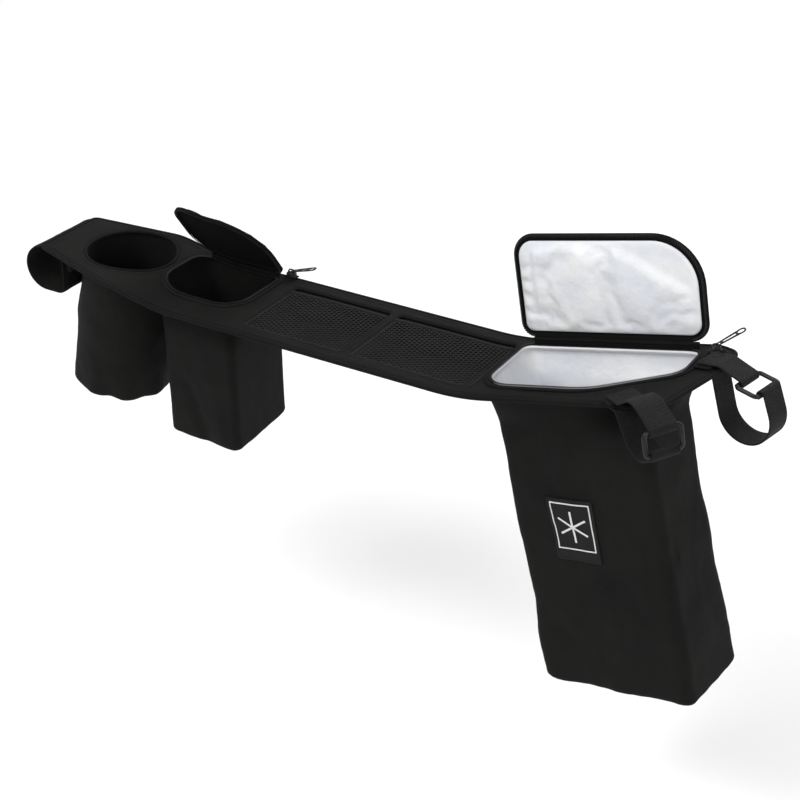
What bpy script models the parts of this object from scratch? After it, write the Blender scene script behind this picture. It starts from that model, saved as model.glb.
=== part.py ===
"""Stroller organizer, modelled hung on a handlebar as it is used.

A long fabric deck lies inside the handlebar. From left to right it carries a hook-and-loop
sleeve, an insulated cup, a zippered pocket with a lid, two mesh pockets, an insulated bag with
a lid, and two webbing straps with rectangular rings.

Metres, +Z up. The origin is on the axis of the bar inside the sleeve, at the deck's middle.
The deck is described by u along its length from that axis, v across it from its middle line
(the user stands at -v) and h above its top face. The deck sags, so u follows a curve in X and Z.
"""
import math

import bmesh
import bpy
import numpy as np
from mathutils import Matrix, Vector
from mathutils.geometry import delaunay_2d_cdt

# Clearances between sewn pieces
GAP = 0.00035
RUN = 0.0005

# Handlebar that the organizer hangs on (not part of the object)
BAR_RADIUS = 0.0173

# Deck
DECK_WIDTH = 0.1013
DECK_THICKNESS = 0.0024
END_WIDTH = 0.066
END_SHIFT = 0.007
TAPER_LENGTH = 0.078
DECK_END_CUT = 0.016
BINDING_WIDTH = 0.0045
BINDING_RISE = 0.0008

# The deck's sag: where it bends along u, and its slope between the bends, in degrees
BEND_AT_CUP = (0.072, 0.092)
BEND_AT_POCKET = (0.122, 0.147)
BEND_AT_BAG = (0.372, 0.412)
SLOPE_END = -1.5
SLOPE_CUP = -12.0
SLOPE_MIDDLE = 0.0
SLOPE_BAG = 13.0

# Sleeve round the side bar
SLEEVE_THICKNESS = 0.0012
HOOK_THICKNESS = 0.0009
HOOK_LENGTH = 0.014
LOOP_TAB_LENGTH = 0.017

# Cup
CUP_U = 0.0640
CUP_V = 0.007
CUP_HOLE_RADIUS = 0.037
CUP_WALL = 0.0016
CUP_LINING = 0.0009
CUP_DEPTH = 0.117
CUP_LEAN = -9.0
CUP_FLARE = 0.055
COLLAR_HEIGHT = 0.0009
COLLAR_WALL = 0.0013

# Hanging bags: how their floors round and their mouths flare
FLOOR_ROUNDING = 0.004
FLARE = 0.030

# Zippered pocket
POCKET_U = 0.106
POCKET_LENGTH = 0.078
POCKET_MIDDLE = 0.0095
POCKET_REACH = 0.065
POCKET_WALL = 0.0014
POCKET_DEPTH = 0.123
POCKET_BOX_LENGTH = 0.067
POCKET_BOX_WIDTH = 0.0712
POCKET_BOX_U = 0.1505
POCKET_BOX_V = 0.006
POCKET_BOX_CORNER = 0.006
POCKET_LEAN = -2.0
POCKET_SWING = 5.2
POCKET_LID_OPEN = 51.0

# Mesh pockets
MESH_U = 0.202
MESH_LENGTHS = (0.085, 0.098)
MESH_DIVIDER = 0.008
MESH_MIDDLE = 0.0005
MESH_REACH = 0.0735
MESH_THICKNESS = 0.001
MESH_CROWN = 0.002
MESH_CELL = (0.0085, 0.0108)
MESH_STRAND = 0.0022
MOUTH = 0.0055
ELASTIC_WIDTH = 0.0042
FLOOR_SAG = 0.015
FLOOR_MARGIN = 0.006
FLOOR_BY_BAG = 0.0022
FLOOR_THICKNESS = 0.0012

# Insulated bag
BAG_U = 0.398
BAG_LENGTH = 0.141
BAG_MIDDLE = 0.0025
BAG_REACH = 0.074
BAG_CUT = (0.058, 0.034)
BAG_WALL = 0.0014
BAG_LINING = 0.0026
BAG_DEPTH = 0.239
BAG_SHIFT = (-0.0039, 0.001)
BAG_LEAN = 14.0
BAG_TWIST = -7.0
BAG_LID_OPEN = 95.0
# Left, right, near and far of its section under the mouth and at its floor, with its corners
BAG_SECTION_TOP = (-0.0600, 0.0635, -0.036, 0.027)
BAG_SECTION_FLOOR = (-0.0615, 0.0655, -0.036, 0.0365)
BAG_CORNER = 0.008

# The deck's right end, past the bag's opening
DECK_PAST_BAG = 0.021
DECK_PAST_BAG_NEAR = 0.002
DECK_END_FAR = BAG_U + BAG_LENGTH + DECK_PAST_BAG
DECK_END_NEAR = BAG_U + BAG_LENGTH + DECK_PAST_BAG_NEAR

# Zippers and lids, as a stack above the deck's top face
TAPE_THICKNESS = 0.0007
TAPE_INSIDE = 0.0014
TAPE_OUTSIDE = 0.0030
COIL_RADIUS = 0.0006
LID_BACK = 0.00335
LID_SKIN = 0.0012
LID_LINING = 0.0026
HINGE_RADIUS = 0.0011
SLIDER_LENGTH = 0.0085
SLIDER_WIDTH = 0.0064
SLIDER_HEIGHT = 0.0026
PULL_LENGTH = 0.024
PULL_WIDTH = 0.0075
PULL_THICKNESS = 0.0009
PULL_TILT = 18.0
# Each slider's place past the right end and the far side of its opening
POCKET_SLIDER_PAST = (0.0045, 0.0075)
BAG_SLIDER_PAST = (0.0072, -0.0018)
BAG_SLIDER_TURN = 40.0

# Label
LABEL_WIDTH = 0.037
LABEL_HEIGHT = 0.050
LABEL_THICKNESS = 0.0006
LABEL_SIDE = -0.0077
LABEL_DEPTH = 0.1067
PRINT_THICKNESS = 0.0003

# Straps
WEB_WIDTH = 0.020
WEB_THICKNESS = 0.0014
RING_WIRE = 0.0017
RING_SPAN = 0.0245
RING_DROP = 0.0205
# Each strap: its place on the deck's edge, how it is turned, and where it holds the bar
NEAR_STRAP_BACK = 0.020
NEAR_STRAP_U = BAG_U + BAG_LENGTH - NEAR_STRAP_BACK
NEAR_STRAP_TURN = 50.0
NEAR_REACH = 0.0435
NEAR_BAR_BELOW = 0.0090
NEAR_RING_ANGLE = -4.0
FAR_STRAP_BACK = 0.0215
FAR_STRAP_V = BAG_MIDDLE + BAG_REACH / 2.0 - FAR_STRAP_BACK
FAR_STRAP_TURN = 75.5
FAR_REACH = 0.0392
FAR_BAR_BELOW = 0.0308
FAR_RING_ANGLE = 71.5
STRAP_TAIL = 0.013
STRAP_INSIDE = 0.002
TAB_THICKNESS = 0.0012

# Facets
STEP = 0.009
RING_COUNT = 40
SLIVER = 2e-9
ARC_STEP = 18.0
SHARP_ANGLE = math.radians(40.0)

FABRIC = (0.016, 0.017, 0.016)
TRIM = (0.010, 0.010, 0.011)
WHITE = (0.80, 0.82, 0.84)


def clear_scene():
    for item in list(bpy.data.objects):
        bpy.data.objects.remove(item)


def material(name, colour, roughness, metallic=0.0):
    made = bpy.data.materials.new(name)
    made.use_nodes = True
    shader = made.node_tree.nodes["Principled BSDF"]
    shader.inputs["Base Color"].default_value = (*colour, 1.0)
    shader.inputs["Roughness"].default_value = roughness
    shader.inputs["Metallic"].default_value = metallic
    return made


def solid_mesh(name, mesh_data, pivot=Vector()):
    """A mesh from (points, faces) with its faces outwards, measured from a pivot."""
    points, faces = mesh_data
    mesh = bpy.data.meshes.new(name)
    mesh.from_pydata([tuple(Vector(p) - pivot) for p in points], [], faces)
    shape = bmesh.new()
    shape.from_mesh(mesh)
    bmesh.ops.recalc_face_normals(shape, faces=shape.faces)
    shape.to_mesh(mesh)
    shape.free()
    return mesh


def add_object(name, mesh_data, look, pivot=Vector()):
    """Adds one node from (points, faces) with its own material and its origin at a pivot."""
    mesh = solid_mesh(name, mesh_data, pivot)
    mesh.shade_smooth()
    mesh.set_sharp_from_angle(angle=SHARP_ANGLE)
    made = bpy.data.objects.new(name, mesh)
    made.location = pivot
    made.data.materials.append(material(name, *look))
    bpy.context.scene.collection.objects.link(made)


def fused(first, second):
    """One closed shape from two that overlap."""
    helpers = []
    for label, shape in (("first", first), ("second", second)):
        helper = bpy.data.objects.new(label, solid_mesh(label, shape))
        bpy.context.scene.collection.objects.link(helper)
        helpers.append(helper)
    union = helpers[0].modifiers.new("union", "BOOLEAN")
    union.operation = "UNION"
    union.solver = "EXACT"
    union.object = helpers[1]
    result = helpers[0].evaluated_get(bpy.context.evaluated_depsgraph_get()).to_mesh()
    points = [v.co.copy() for v in result.vertices]
    faces = [list(f.vertices) for f in result.polygons]
    for helper in helpers:
        bpy.data.objects.remove(helper)
    return points, faces


# The deck's curve

def spans():
    """(start, end, slope at start, slope at end) along u, slopes in radians."""
    slopes = [math.radians(s) for s in (SLOPE_END, SLOPE_CUP, SLOPE_MIDDLE, SLOPE_BAG)]
    bends = [BEND_AT_CUP, BEND_AT_POCKET, BEND_AT_BAG]
    made = []
    start = 0.0
    for index, (low, high) in enumerate(bends):
        made.append((start, low, slopes[index], slopes[index]))
        made.append((low, high, slopes[index], slopes[index + 1]))
        start = high
    made.append((start, 10.0, slopes[-1], slopes[-1]))
    return made


def deck_curve(u):
    """X, Z and slope of the deck's top face at u."""
    x = 0.0
    z = BAR_RADIUS + RUN + DECK_THICKNESS
    for start, end, before, after in spans():
        stop = min(u, end)
        turn = (after - before) / (end - start)
        slope = before + turn * (stop - start)
        if abs(turn) < 1e-9:
            x += math.cos(before) * (stop - start)
            z += math.sin(before) * (stop - start)
        else:
            x += (math.sin(slope) - math.sin(before)) / turn
            z += (math.cos(before) - math.cos(slope)) / turn
        if u <= end:
            return x, z, slope
    raise ValueError("u lies past the deck")


def on_deck(u, v, h):
    x, z, slope = deck_curve(u)
    return Vector((x - h * math.sin(slope), v, z + h * math.cos(slope)))


def deck_frame(u, v=0.0, h=0.0):
    """Point on the deck with its along, across and up directions."""
    slope = deck_curve(u)[2]
    along = Vector((math.cos(slope), 0.0, math.sin(slope)))
    up = Vector((-math.sin(slope), 0.0, math.cos(slope)))
    return on_deck(u, v, h), along, Vector((0.0, 1.0, 0.0)), up


# Outlines

def grown(corners, by):
    """A convex outline of (u, v, radius) corners, anticlockwise, moved outwards by a distance."""
    made = []
    count = len(corners)
    for i in range(count):
        here = Vector(corners[i][:2])
        before = (here - Vector(corners[i - 1][:2])).normalized()
        after = (Vector(corners[(i + 1) % count][:2]) - here).normalized()
        out_before = Vector((before.y, -before.x))
        out_after = Vector((after.y, -after.x))
        shift = (out_before + out_after) / (1.0 + out_before.dot(out_after))
        moved = here + shift * by
        made.append((moved.x, moved.y, max(corners[i][2] + by, 0.0004)))
    return made


def rounded(corners, step=STEP):
    """Points of an outline with rounded corners, with its long sides divided."""
    made = []
    count = len(corners)
    for i in range(count):
        here = Vector(corners[i][:2])
        radius = corners[i][2]
        before = (Vector(corners[i - 1][:2]) - here).normalized()
        after = (Vector(corners[(i + 1) % count][:2]) - here).normalized()
        half = before.angle(after) / 2.0
        reach = radius / math.tan(half)
        centre = here + (before + after).normalized() * (radius / math.sin(half))
        start = here + before * reach
        turn = math.pi - 2.0 * half
        if after.x * before.y - after.y * before.x < 0.0:
            turn = -turn
        pieces = max(2, round(abs(math.degrees(turn)) / ARC_STEP)) if radius > 0.001 else 1
        first = start - centre
        for k in range(pieces + 1):
            swing = Matrix.Rotation(turn * k / pieces, 2)
            made.append(tuple(centre + swing @ first))
    return divided(made, step)


def divided(points, step):
    made = []
    for i, here in enumerate(points):
        after = points[(i + 1) % len(points)]
        length = math.dist(here, after)
        if length < 1e-7:
            continue
        pieces = max(1, math.ceil(length / step))
        for k in range(pieces):
            share = k / pieces
            made.append((here[0] + (after[0] - here[0]) * share, here[1] + (after[1] - here[1]) * share))
    return made


def polar(points, centre, count=RING_COUNT):
    """The outline read off at equal angles round a centre, as offsets from it."""
    made = []
    for k in range(count):
        angle = 2.0 * math.pi * k / count
        ray = Vector((math.cos(angle), math.sin(angle)))
        best = 0.0
        for i, here in enumerate(points):
            a = Vector(here) - Vector(centre)
            b = Vector(points[(i + 1) % len(points)]) - Vector(centre)
            side = b - a
            cross = ray.x * side.y - ray.y * side.x
            if abs(cross) < 1e-12:
                continue
            distance = (a.x * side.y - a.y * side.x) / cross
            share = (a.x * ray.y - a.y * ray.x) / cross
            if distance > 0.0 and -1e-9 <= share <= 1.0 + 1e-9:
                best = max(best, distance)
        made.append((ray.x * best, ray.y * best))
    return made


def region_corners(left, right, near, far, radius):
    return [(left, near, radius), (right, near, radius), (right, far, radius), (left, far, radius)]


def box_corners(length, width, radius):
    a, b = length / 2.0, width / 2.0
    return region_corners(-a, a, -b, b, radius)


def inside(point, outline):
    x, y = point
    hit = False
    for i, (ax, ay) in enumerate(outline):
        bx, by = outline[i - 1]
        if (ay > y) != (by > y) and x < (bx - ax) * (y - ay) / (by - ay) + ax:
            hit = not hit
    return hit


# Solids

def plate(outline, holes, low, high, place, grid=None):
    """A flat piece between heights low and high, with holes, placed point by point.

    low and high are numbers or functions of (u, v). grid is a spacing for inner points, which
    let a long plate bend.
    """
    loops = [list(outline)] + [list(hole) for hole in holes]
    flat, edges = [], []
    for loop in loops:
        start = len(flat)
        flat += [Vector(p) for p in loop]
        edges += [(start + i, start + (i + 1) % len(loop)) for i in range(len(loop))]
    if grid:
        flat += inner_points(loops, grid)
    cut = delaunay_2d_cdt(flat, edges, [], 0, 1e-7)
    verts, faces = cut[0], cut[2]
    kept = []
    for face in faces:
        middle = sum((verts[i] for i in face), Vector((0.0, 0.0))) / len(face)
        a, b, c = (verts[i] for i in face[:3])
        if abs((b - a).cross(c - a)) < SLIVER:
            continue
        if inside(middle, loops[0]) and not any(inside(middle, hole) for hole in loops[1:]):
            kept.append(list(face))
    used = sorted({i for face in kept for i in face})
    number = {i: k for k, i in enumerate(used)}
    height = [h if callable(h) else (lambda u, v, value=h: value) for h in (low, high)]
    points = [place(verts[i].x, verts[i].y, height[0](*verts[i])) for i in used]
    points += [place(verts[i].x, verts[i].y, height[1](*verts[i])) for i in used]
    count = len(used)
    made = []
    seen = {}
    for face in kept:
        ids = [number[i] for i in face]
        made.append([i + count for i in ids])
        made.append(ids[::-1])
        for k, i in enumerate(ids):
            seen[(i, ids[(k + 1) % len(ids)])] = True
    for a, b in list(seen):
        if (b, a) not in seen:
            made.append([a, b, b + count, a + count])
    return points, made


def inner_points(loops, grid):
    across = grid if isinstance(grid, tuple) else (grid, grid)
    low_u = min(p[0] for p in loops[0])
    high_u = max(p[0] for p in loops[0])
    low_v = min(p[1] for p in loops[0])
    high_v = max(p[1] for p in loops[0])
    border = np.array([p for loop in loops for p in loop])
    made = []
    for u in np.arange(low_u + across[0] / 2.0, high_u, across[0]):
        for v in np.arange(low_v + across[1] / 2.0, high_v, across[1]):
            point = (float(u), float(v))
            near = np.min(np.hypot(border[:, 0] - u, border[:, 1] - v))
            if near < min(across) * 0.45 or not inside(point, loops[0]):
                continue
            if not any(inside(point, hole) for hole in loops[1:]):
                made.append(Vector(point))
    return made


def skin(loops, closed_ring=False):
    """Faces that join loops of equal length, in order. Both ends are capped unless they join."""
    count = len(loops[0])
    points = [p for loop in loops for p in loop]
    faces = []
    rows = len(loops) if closed_ring else len(loops) - 1
    for row in range(rows):
        a, b = row * count, ((row + 1) % len(loops)) * count
        for k in range(count):
            n = (k + 1) % count
            faces.append([a + k, a + n, b + n, b + k])
    if not closed_ring:
        for start, loop in ((0, loops[0]), ((len(loops) - 1) * count, loops[-1])):
            middle = sum((Vector(p) for p in loop), Vector()) / count
            points.append(middle)
            hub = len(points) - 1
            faces += [[start + k, start + (k + 1) % count, hub] for k in range(count)]
    return points, faces


def ribbon(path, across, width, thickness):
    """A strap: path points, the direction across it, its width and its thickness."""
    half = across.normalized() * (width / 2.0)
    rows = []
    for i, here in enumerate(path):
        before = path[max(i - 1, 0)]
        after = path[min(i + 1, len(path) - 1)]
        up = (after - before).cross(half).normalized() * (thickness / 2.0)
        rows.append([here - half - up, here + half - up, here + half + up, here - half + up])
    return skin(rows)


def rod(path, radius, sides=8, closed=False, start_up=Vector((0.0, 0.0, 1.0))):
    """A round rod along a path."""
    loops = []
    count = len(path)
    for i, here in enumerate(path):
        before = path[(i - 1) % count] if closed else path[max(i - 1, 0)]
        after = path[(i + 1) % count] if closed else path[min(i + 1, count - 1)]
        ahead = (after - before).normalized()
        side = ahead.cross(start_up).normalized()
        up = side.cross(ahead)
        turns = [2.0 * math.pi * (k + 0.5) / sides for k in range(sides)]
        loops.append([here + (side * math.cos(t) + up * math.sin(t)) * radius for t in turns])
    return skin(loops, closed_ring=closed)


def block(frame, size, centre):
    """A box of size (along, across, up) at a centre given in a frame (origin, along, across, up)."""
    origin, *axes = frame
    low = [centre[k] - size[k] / 2.0 for k in range(3)]
    high = [centre[k] + size[k] / 2.0 for k in range(3)]
    loops = []
    for z in (low[2], high[2]):
        ring = [(low[0], low[1]), (high[0], low[1]), (high[0], high[1]), (low[0], high[1])]
        loops.append([origin + axes[0] * x + axes[1] * y + axes[2] * z for x, y in ring])
    return skin(loops)


# Outlines of the deck's openings, worked out once

def cup_circle(radius, count=RING_COUNT):
    turns = [2.0 * math.pi * k / count for k in range(count)]
    return [(CUP_U + radius * math.cos(t), CUP_V + radius * math.sin(t)) for t in turns]


def pocket_corners(by=0.0):
    near = POCKET_MIDDLE - POCKET_REACH / 2.0
    far = POCKET_MIDDLE + POCKET_REACH / 2.0
    left, right = POCKET_U, POCKET_U + POCKET_LENGTH
    corners = [(left, near, 0.025), (right, near, 0.024), (right, far, 0.005), (left, far, 0.017)]
    return grown(corners, by)


def pocket_lid_corners(by=0.0):
    near = POCKET_MIDDLE - POCKET_REACH / 2.0
    far = POCKET_MIDDLE + POCKET_REACH / 2.0 - LID_BACK
    left, right = POCKET_U - 0.003, POCKET_U + POCKET_LENGTH
    corners = [(left, near, 0.024), (right, near, 0.038), (right, far, 0.005), (left, far, 0.017)]
    return grown(corners, by)


def bag_corners(by=0.0):
    near = BAG_MIDDLE - BAG_REACH / 2.0
    far = BAG_MIDDLE + BAG_REACH / 2.0
    left, right = BAG_U, BAG_U + BAG_LENGTH
    cut_u, cut_v = BAG_CUT
    corners = [(left, near, 0.022), (right - cut_u, near, 0.050), (right, near + cut_v, 0.022),
               (right, far, 0.011), (left, far, 0.008)]
    return grown(corners, by)


def bag_lid_corners(by=0.0):
    near = BAG_MIDDLE - BAG_REACH / 2.0
    far = BAG_MIDDLE + BAG_REACH / 2.0 - LID_BACK
    left, right = BAG_U + 0.002, BAG_U + BAG_LENGTH
    corners = [(left, near, 0.014), (right, near, 0.034), (right, far, 0.011), (left, far, 0.008)]
    return grown(corners, by)


def mesh_windows():
    """(left, right, near, far) of each mesh pocket's window."""
    near = MESH_MIDDLE - MESH_REACH / 2.0
    far = MESH_MIDDLE + MESH_REACH / 2.0
    made = []
    start = MESH_U
    for length in MESH_LENGTHS:
        made.append((start, start + length, near, far))
        start += length + MESH_DIVIDER
    return made


def window_corners(window, by=0.0, radius=0.003):
    return grown(region_corners(*window, radius), by)


def deck_corners(by=0.0):
    half = DECK_WIDTH / 2.0
    end = END_WIDTH / 2.0
    corners = [(0.0, END_SHIFT - end, 0.004), (TAPER_LENGTH, -half, 0.040),
               (DECK_END_NEAR, -half, 0.006), (DECK_END_FAR, FAR_STRAP_V - WEB_WIDTH * 0.2, 0.012),
               (DECK_END_FAR, half - 0.010, 0.012), (DECK_END_FAR - DECK_END_CUT, half, 0.020),
               (TAPER_LENGTH, half, 0.060), (0.0, END_SHIFT + end, 0.004)]
    return grown(corners, by)


# Heights of the zipper stack

def stack():
    """Heights above the deck: tape, coil, lid coil, lid tape, lining and skin."""
    tape = (GAP, GAP + TAPE_THICKNESS)
    coil = tape[1] + GAP + COIL_RADIUS
    lid_coil = coil + 2.0 * COIL_RADIUS + GAP
    lid_tape = (lid_coil + COIL_RADIUS + GAP, lid_coil + COIL_RADIUS + GAP + TAPE_THICKNESS)
    lining = (lid_tape[1] - LID_LINING, lid_tape[1])
    outer = (lid_tape[1] + GAP, lid_tape[1] + GAP + LID_SKIN)
    return {"tape": tape, "coil": coil, "lid_coil": lid_coil, "lid_tape": lid_tape,
            "lining": lining, "skin": outer}


def hinge_line(corners):
    """u of both ends of a lid's straight far side, its v, and the hinge's v and h."""
    far = max(c[1] for c in corners)
    ends = [c for c in corners if abs(c[1] - far) < 1e-6]
    left = min(ends, key=lambda c: c[0])
    right = max(ends, key=lambda c: c[0])
    hinge_v = far + TAPE_OUTSIDE + HINGE_RADIUS + GAP
    return left[0] + left[2] * 0.8, right[0] - right[2] * 0.5, hinge_v


def hinge_frame(corners):
    """A point on the hinge's axis and its direction."""
    left, right, v = hinge_line(corners)
    rise = sum(stack()["lid_tape"]) / 2.0
    a = on_deck(left, v, rise)
    b = on_deck(right, v, rise)
    return a, b, (b - a).normalized()


def make_hinge(name, corners):
    """The rolled seam that a lid turns on, with the web that sews it to the deck."""
    left, right, v = hinge_line(corners)
    count = max(2, round((right - left) / STEP))
    stations = [left + (right - left) * k / count for k in range(count + 1)]
    a, b, _ = hinge_frame(corners)
    half = Vector((0.0, HINGE_RADIUS * 0.5, 0.0))
    across = Vector((0.0, 1.0, 0.0))
    rows = []
    for k, u in enumerate(stations):
        middle = a + (b - a) * (k / count)
        foot = on_deck(u, v, stack()["tape"][1] + GAP)
        up = deck_frame(u)[3]
        turns = [math.radians(-60.0 + 300.0 * i / 9.0) for i in range(10)]
        roll = [middle + (across * math.cos(t) + up * math.sin(t)) * HINGE_RADIUS for t in turns]
        rows.append([foot - half, foot + half] + roll)
    add_object(name, skin(rows), (FABRIC, 0.85))


def turned(mesh_data, corners, degrees):
    """A lid's shape turned open about its hinge."""
    a, _, axis = hinge_frame(corners)
    swing = Matrix.Translation(a) @ Matrix.Rotation(-math.radians(degrees), 4, axis)
    swing = swing @ Matrix.Translation(-a)
    points, faces = mesh_data
    return [swing @ Vector(p) for p in points], faces


def open_path(corners, by):
    """The outline without its far side: from the hinge's right end round the near side to its left."""
    line = rounded(grown(corners, by))
    far = max(p[1] for p in line)
    top = [i for i, p in enumerate(line) if far - p[1] < 1e-5]
    start = max(top, key=lambda i: -line[i][0])
    ordered = line[start:] + line[:start]
    last = max(range(len(ordered)), key=lambda i: (far - ordered[i][1] < 1e-5) * ordered[i][0])
    return ordered[: last + 1]


def make_zipper_side(name, corners, degrees, levels, look):
    """One side of a zipper: its tape ring and its coil."""
    tape, coil = levels
    outer = rounded(grown(corners, TAPE_OUTSIDE))
    inner = rounded(grown(corners, -TAPE_INSIDE))
    ring = plate(outer, [inner], tape[0], tape[1], on_deck, grid=None)
    line = [on_deck(u, v, coil) for u, v in open_path(corners, -TAPE_INSIDE + COIL_RADIUS)]
    wire = rod(line, COIL_RADIUS, sides=6)
    pivot = Vector()
    if degrees:
        ring = turned(ring, corners, degrees)
        wire = turned(wire, corners, degrees)
        pivot = hinge_frame(corners)[0]
    add_object(name + "_tape", ring, look, pivot)
    add_object(name + "_coil", wire, (TRIM, 0.45), pivot)


# Pieces

def make_deck():
    holes = [cup_circle(CUP_HOLE_RADIUS), rounded(pocket_corners()), rounded(bag_corners())]
    holes += [rounded(window_corners(w)) for w in mesh_windows()]
    outline = rounded(deck_corners(-BINDING_WIDTH * 0.5))
    panel = plate(outline, holes, -DECK_THICKNESS, 0.0, on_deck, grid=(STEP * 1.4, STEP * 2.2))
    add_object("deck_panel", panel, (FABRIC, 0.8))
    outer = rounded(deck_corners(BINDING_WIDTH * 0.5))
    inner = rounded(deck_corners(-BINDING_WIDTH * 0.5 + GAP))
    rim = plate(outer, [inner], -DECK_THICKNESS, BINDING_RISE, on_deck)
    add_object("deck_edge_binding", rim, (FABRIC, 0.85))


def make_sleeve():
    """The end flap: over the bar, down its left side, under it and up again to the loop tab."""
    middle = SLEEVE_THICKNESS / 2.0
    reach = BAR_RADIUS + RUN + middle
    path = []
    for k in range(13):
        angle = math.radians(98.3 + 171.7 * k / 12.0)
        path.append((reach * math.cos(angle), reach * math.sin(angle)))
    rise = 0.006
    for k in range(5):
        angle = math.radians(-90.0 + 90.0 * k / 4.0)
        corner = (reach - rise, -reach + rise)
        path.append((corner[0] + rise * math.cos(angle), corner[1] + rise * math.sin(angle)))
    underside = -DECK_THICKNESS - GAP
    top = on_deck(reach, 0.0, underside).z - middle
    path.append((reach, top))
    across = Vector((0.0, 1.0, 0.0))
    centre = END_SHIFT
    line = [Vector((x, centre, z)) for x, z in path]
    add_object("bar_sleeve", ribbon(line, across, END_WIDTH, SLEEVE_THICKNESS), (FABRIC, 0.8))
    frame = (Vector((0.0, centre, 0.0)), Vector((1.0, 0.0, 0.0)), across, Vector((0.0, 0.0, 1.0)))
    hook_x = reach + middle + GAP + HOOK_THICKNESS / 2.0
    size = (HOOK_THICKNESS, END_WIDTH - 0.008, HOOK_LENGTH)
    hook = block(frame, size, (hook_x, 0.0, top - 0.001 - HOOK_LENGTH / 2.0))
    add_object("sleeve_hook_strip", hook, (TRIM, 0.95))
    tab_x = hook_x + HOOK_THICKNESS / 2.0 + GAP + HOOK_THICKNESS / 2.0
    size = (HOOK_THICKNESS, END_WIDTH - 0.008, LOOP_TAB_LENGTH)
    tab = block(frame, size, (tab_x, 0.0, top - LOOP_TAB_LENGTH / 2.0))
    add_object("sleeve_loop_tab", tab, (TRIM, 0.95))


def bag_loops(top_loop, upper, lower, depths, place, flare):
    """Loops of a hanging bag: the deck's opening blends into its upper and then its lower section."""
    loops = []
    for depth, section in depths:
        share = min(1.0, depth / flare)
        share = share * share * (3.0 - 2.0 * share)
        down = max(0.0, (depth - flare) / (depths[-1][0] - flare))
        ring = []
        for k, (u, v) in enumerate(top_loop):
            above = on_deck(u, v, -DECK_THICKNESS - GAP - depth)
            x, y = (upper[k][i] + (lower[k][i] - upper[k][i]) * down for i in (0, 1))
            ring.append(above.lerp(place(x * section, y * section, depth), share))
        loops.append(ring)
    return loops


def hanging_place(u, v, lean, swing, twist, flare):
    """Maps (x, y, depth) of a bag's own frame, hung below the deck at (u, v)."""
    top = on_deck(u, v, -DECK_THICKNESS - GAP)

    def place(x, y, depth):
        share = min(1.0, depth / flare)
        turn = math.radians(twist * share)
        local = Vector((x * math.cos(turn) - y * math.sin(turn),
                        x * math.sin(turn) + y * math.cos(turn), -depth))
        local.rotate(Matrix.Rotation(math.radians(swing), 3, "X"))
        local.rotate(Matrix.Rotation(-math.radians(lean), 3, "Y"))
        return top + local

    return place


def bag_shell(top_outline, centre, sections, wall, depth, place, flare, inset=0.0):
    """A bag's wall and floor as one closed shell, open at the top.

    sections holds the outlines under its mouth and at its floor.
    """
    shrink = 1.0 - FLOOR_ROUNDING / min(abs(c[1]) for c in sections[1]) * 0.8
    middle = (1.0 + shrink) / 2.0
    surfaces = []
    for side in (inset, inset + wall):
        top = polar(rounded(grown(top_outline, -side)), centre)
        upper, lower = (polar(rounded(grown(s, -side)), (0.0, 0.0)) for s in sections)
        end = depth - side
        straight = [0.0, flare * 0.33, flare * 0.66, flare, (flare + end) / 2.0, end - FLOOR_ROUNDING]
        depths = [(d, 1.0) for d in straight] + [(end - FLOOR_ROUNDING * 0.3, middle), (end, shrink)]
        opening = [(centre[0] + a, centre[1] + b) for a, b in top]
        surfaces.append(bag_loops(opening, upper, lower, depths, place, flare))
    return nested(*surfaces)


def nested(outside, inside_loops):
    """A vessel from two surfaces given as loops from the rim down, both divided the same way."""
    points, faces = [], []
    rims = []
    count = len(outside[0])
    for loops in (outside, inside_loops):
        start = len(points)
        rims.append(start)
        points += [p for loop in loops for p in loop]
        for row in range(len(loops) - 1):
            upper, lower = start + row * count, start + (row + 1) * count
            for k in range(count):
                n = (k + 1) % count
                faces += [[upper + k, upper + n, lower + n], [upper + k, lower + n, lower + k]]
        last = start + (len(loops) - 1) * count
        points.append(sum((Vector(p) for p in loops[-1]), Vector()) / count)
        faces += [[last + k, last + (k + 1) % count, len(points) - 1] for k in range(count)]
    for k in range(count):
        n = (k + 1) % count
        faces.append([rims[0] + k, rims[0] + n, rims[1] + n, rims[1] + k])
    return points, faces


def make_cup():
    place = hanging_place(CUP_U, CUP_V, CUP_LEAN, 0.0, 0.0, CUP_FLARE)
    round_corners = box_corners(2.0 * CUP_HOLE_RADIUS, 2.0 * CUP_HOLE_RADIUS, CUP_HOLE_RADIUS * 0.999)
    centre = (CUP_U, CUP_V)
    top = [(c[0] + CUP_U, c[1] + CUP_V, c[2]) for c in round_corners]
    outside = CUP_WALL + CUP_LINING + GAP
    outer_top = grown(top, outside)
    sections = [grown(round_corners, outside)] * 2
    wall = bag_shell(outer_top, centre, sections, CUP_WALL, CUP_DEPTH, place, CUP_FLARE)
    add_object("cup_wall", wall, (FABRIC, 0.8))
    lining = bag_shell(outer_top, centre, sections, CUP_LINING, CUP_DEPTH, place, CUP_FLARE,
                       inset=CUP_WALL + GAP)
    add_object("cup_lining", lining, (TRIM, 0.7))
    outside, inside_radius = CUP_HOLE_RADIUS - GAP, CUP_HOLE_RADIUS - GAP - COLLAR_WALL
    low, high = -DECK_THICKNESS, COLLAR_HEIGHT
    loops = []
    for radius, h in ((outside, low), (outside, high), (inside_radius, high), (inside_radius, low)):
        loops.append([on_deck(u, v, h) for u, v in cup_circle(radius)])
    add_object("cup_collar", skin(loops, closed_ring=True), (FABRIC, 0.85))


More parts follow.
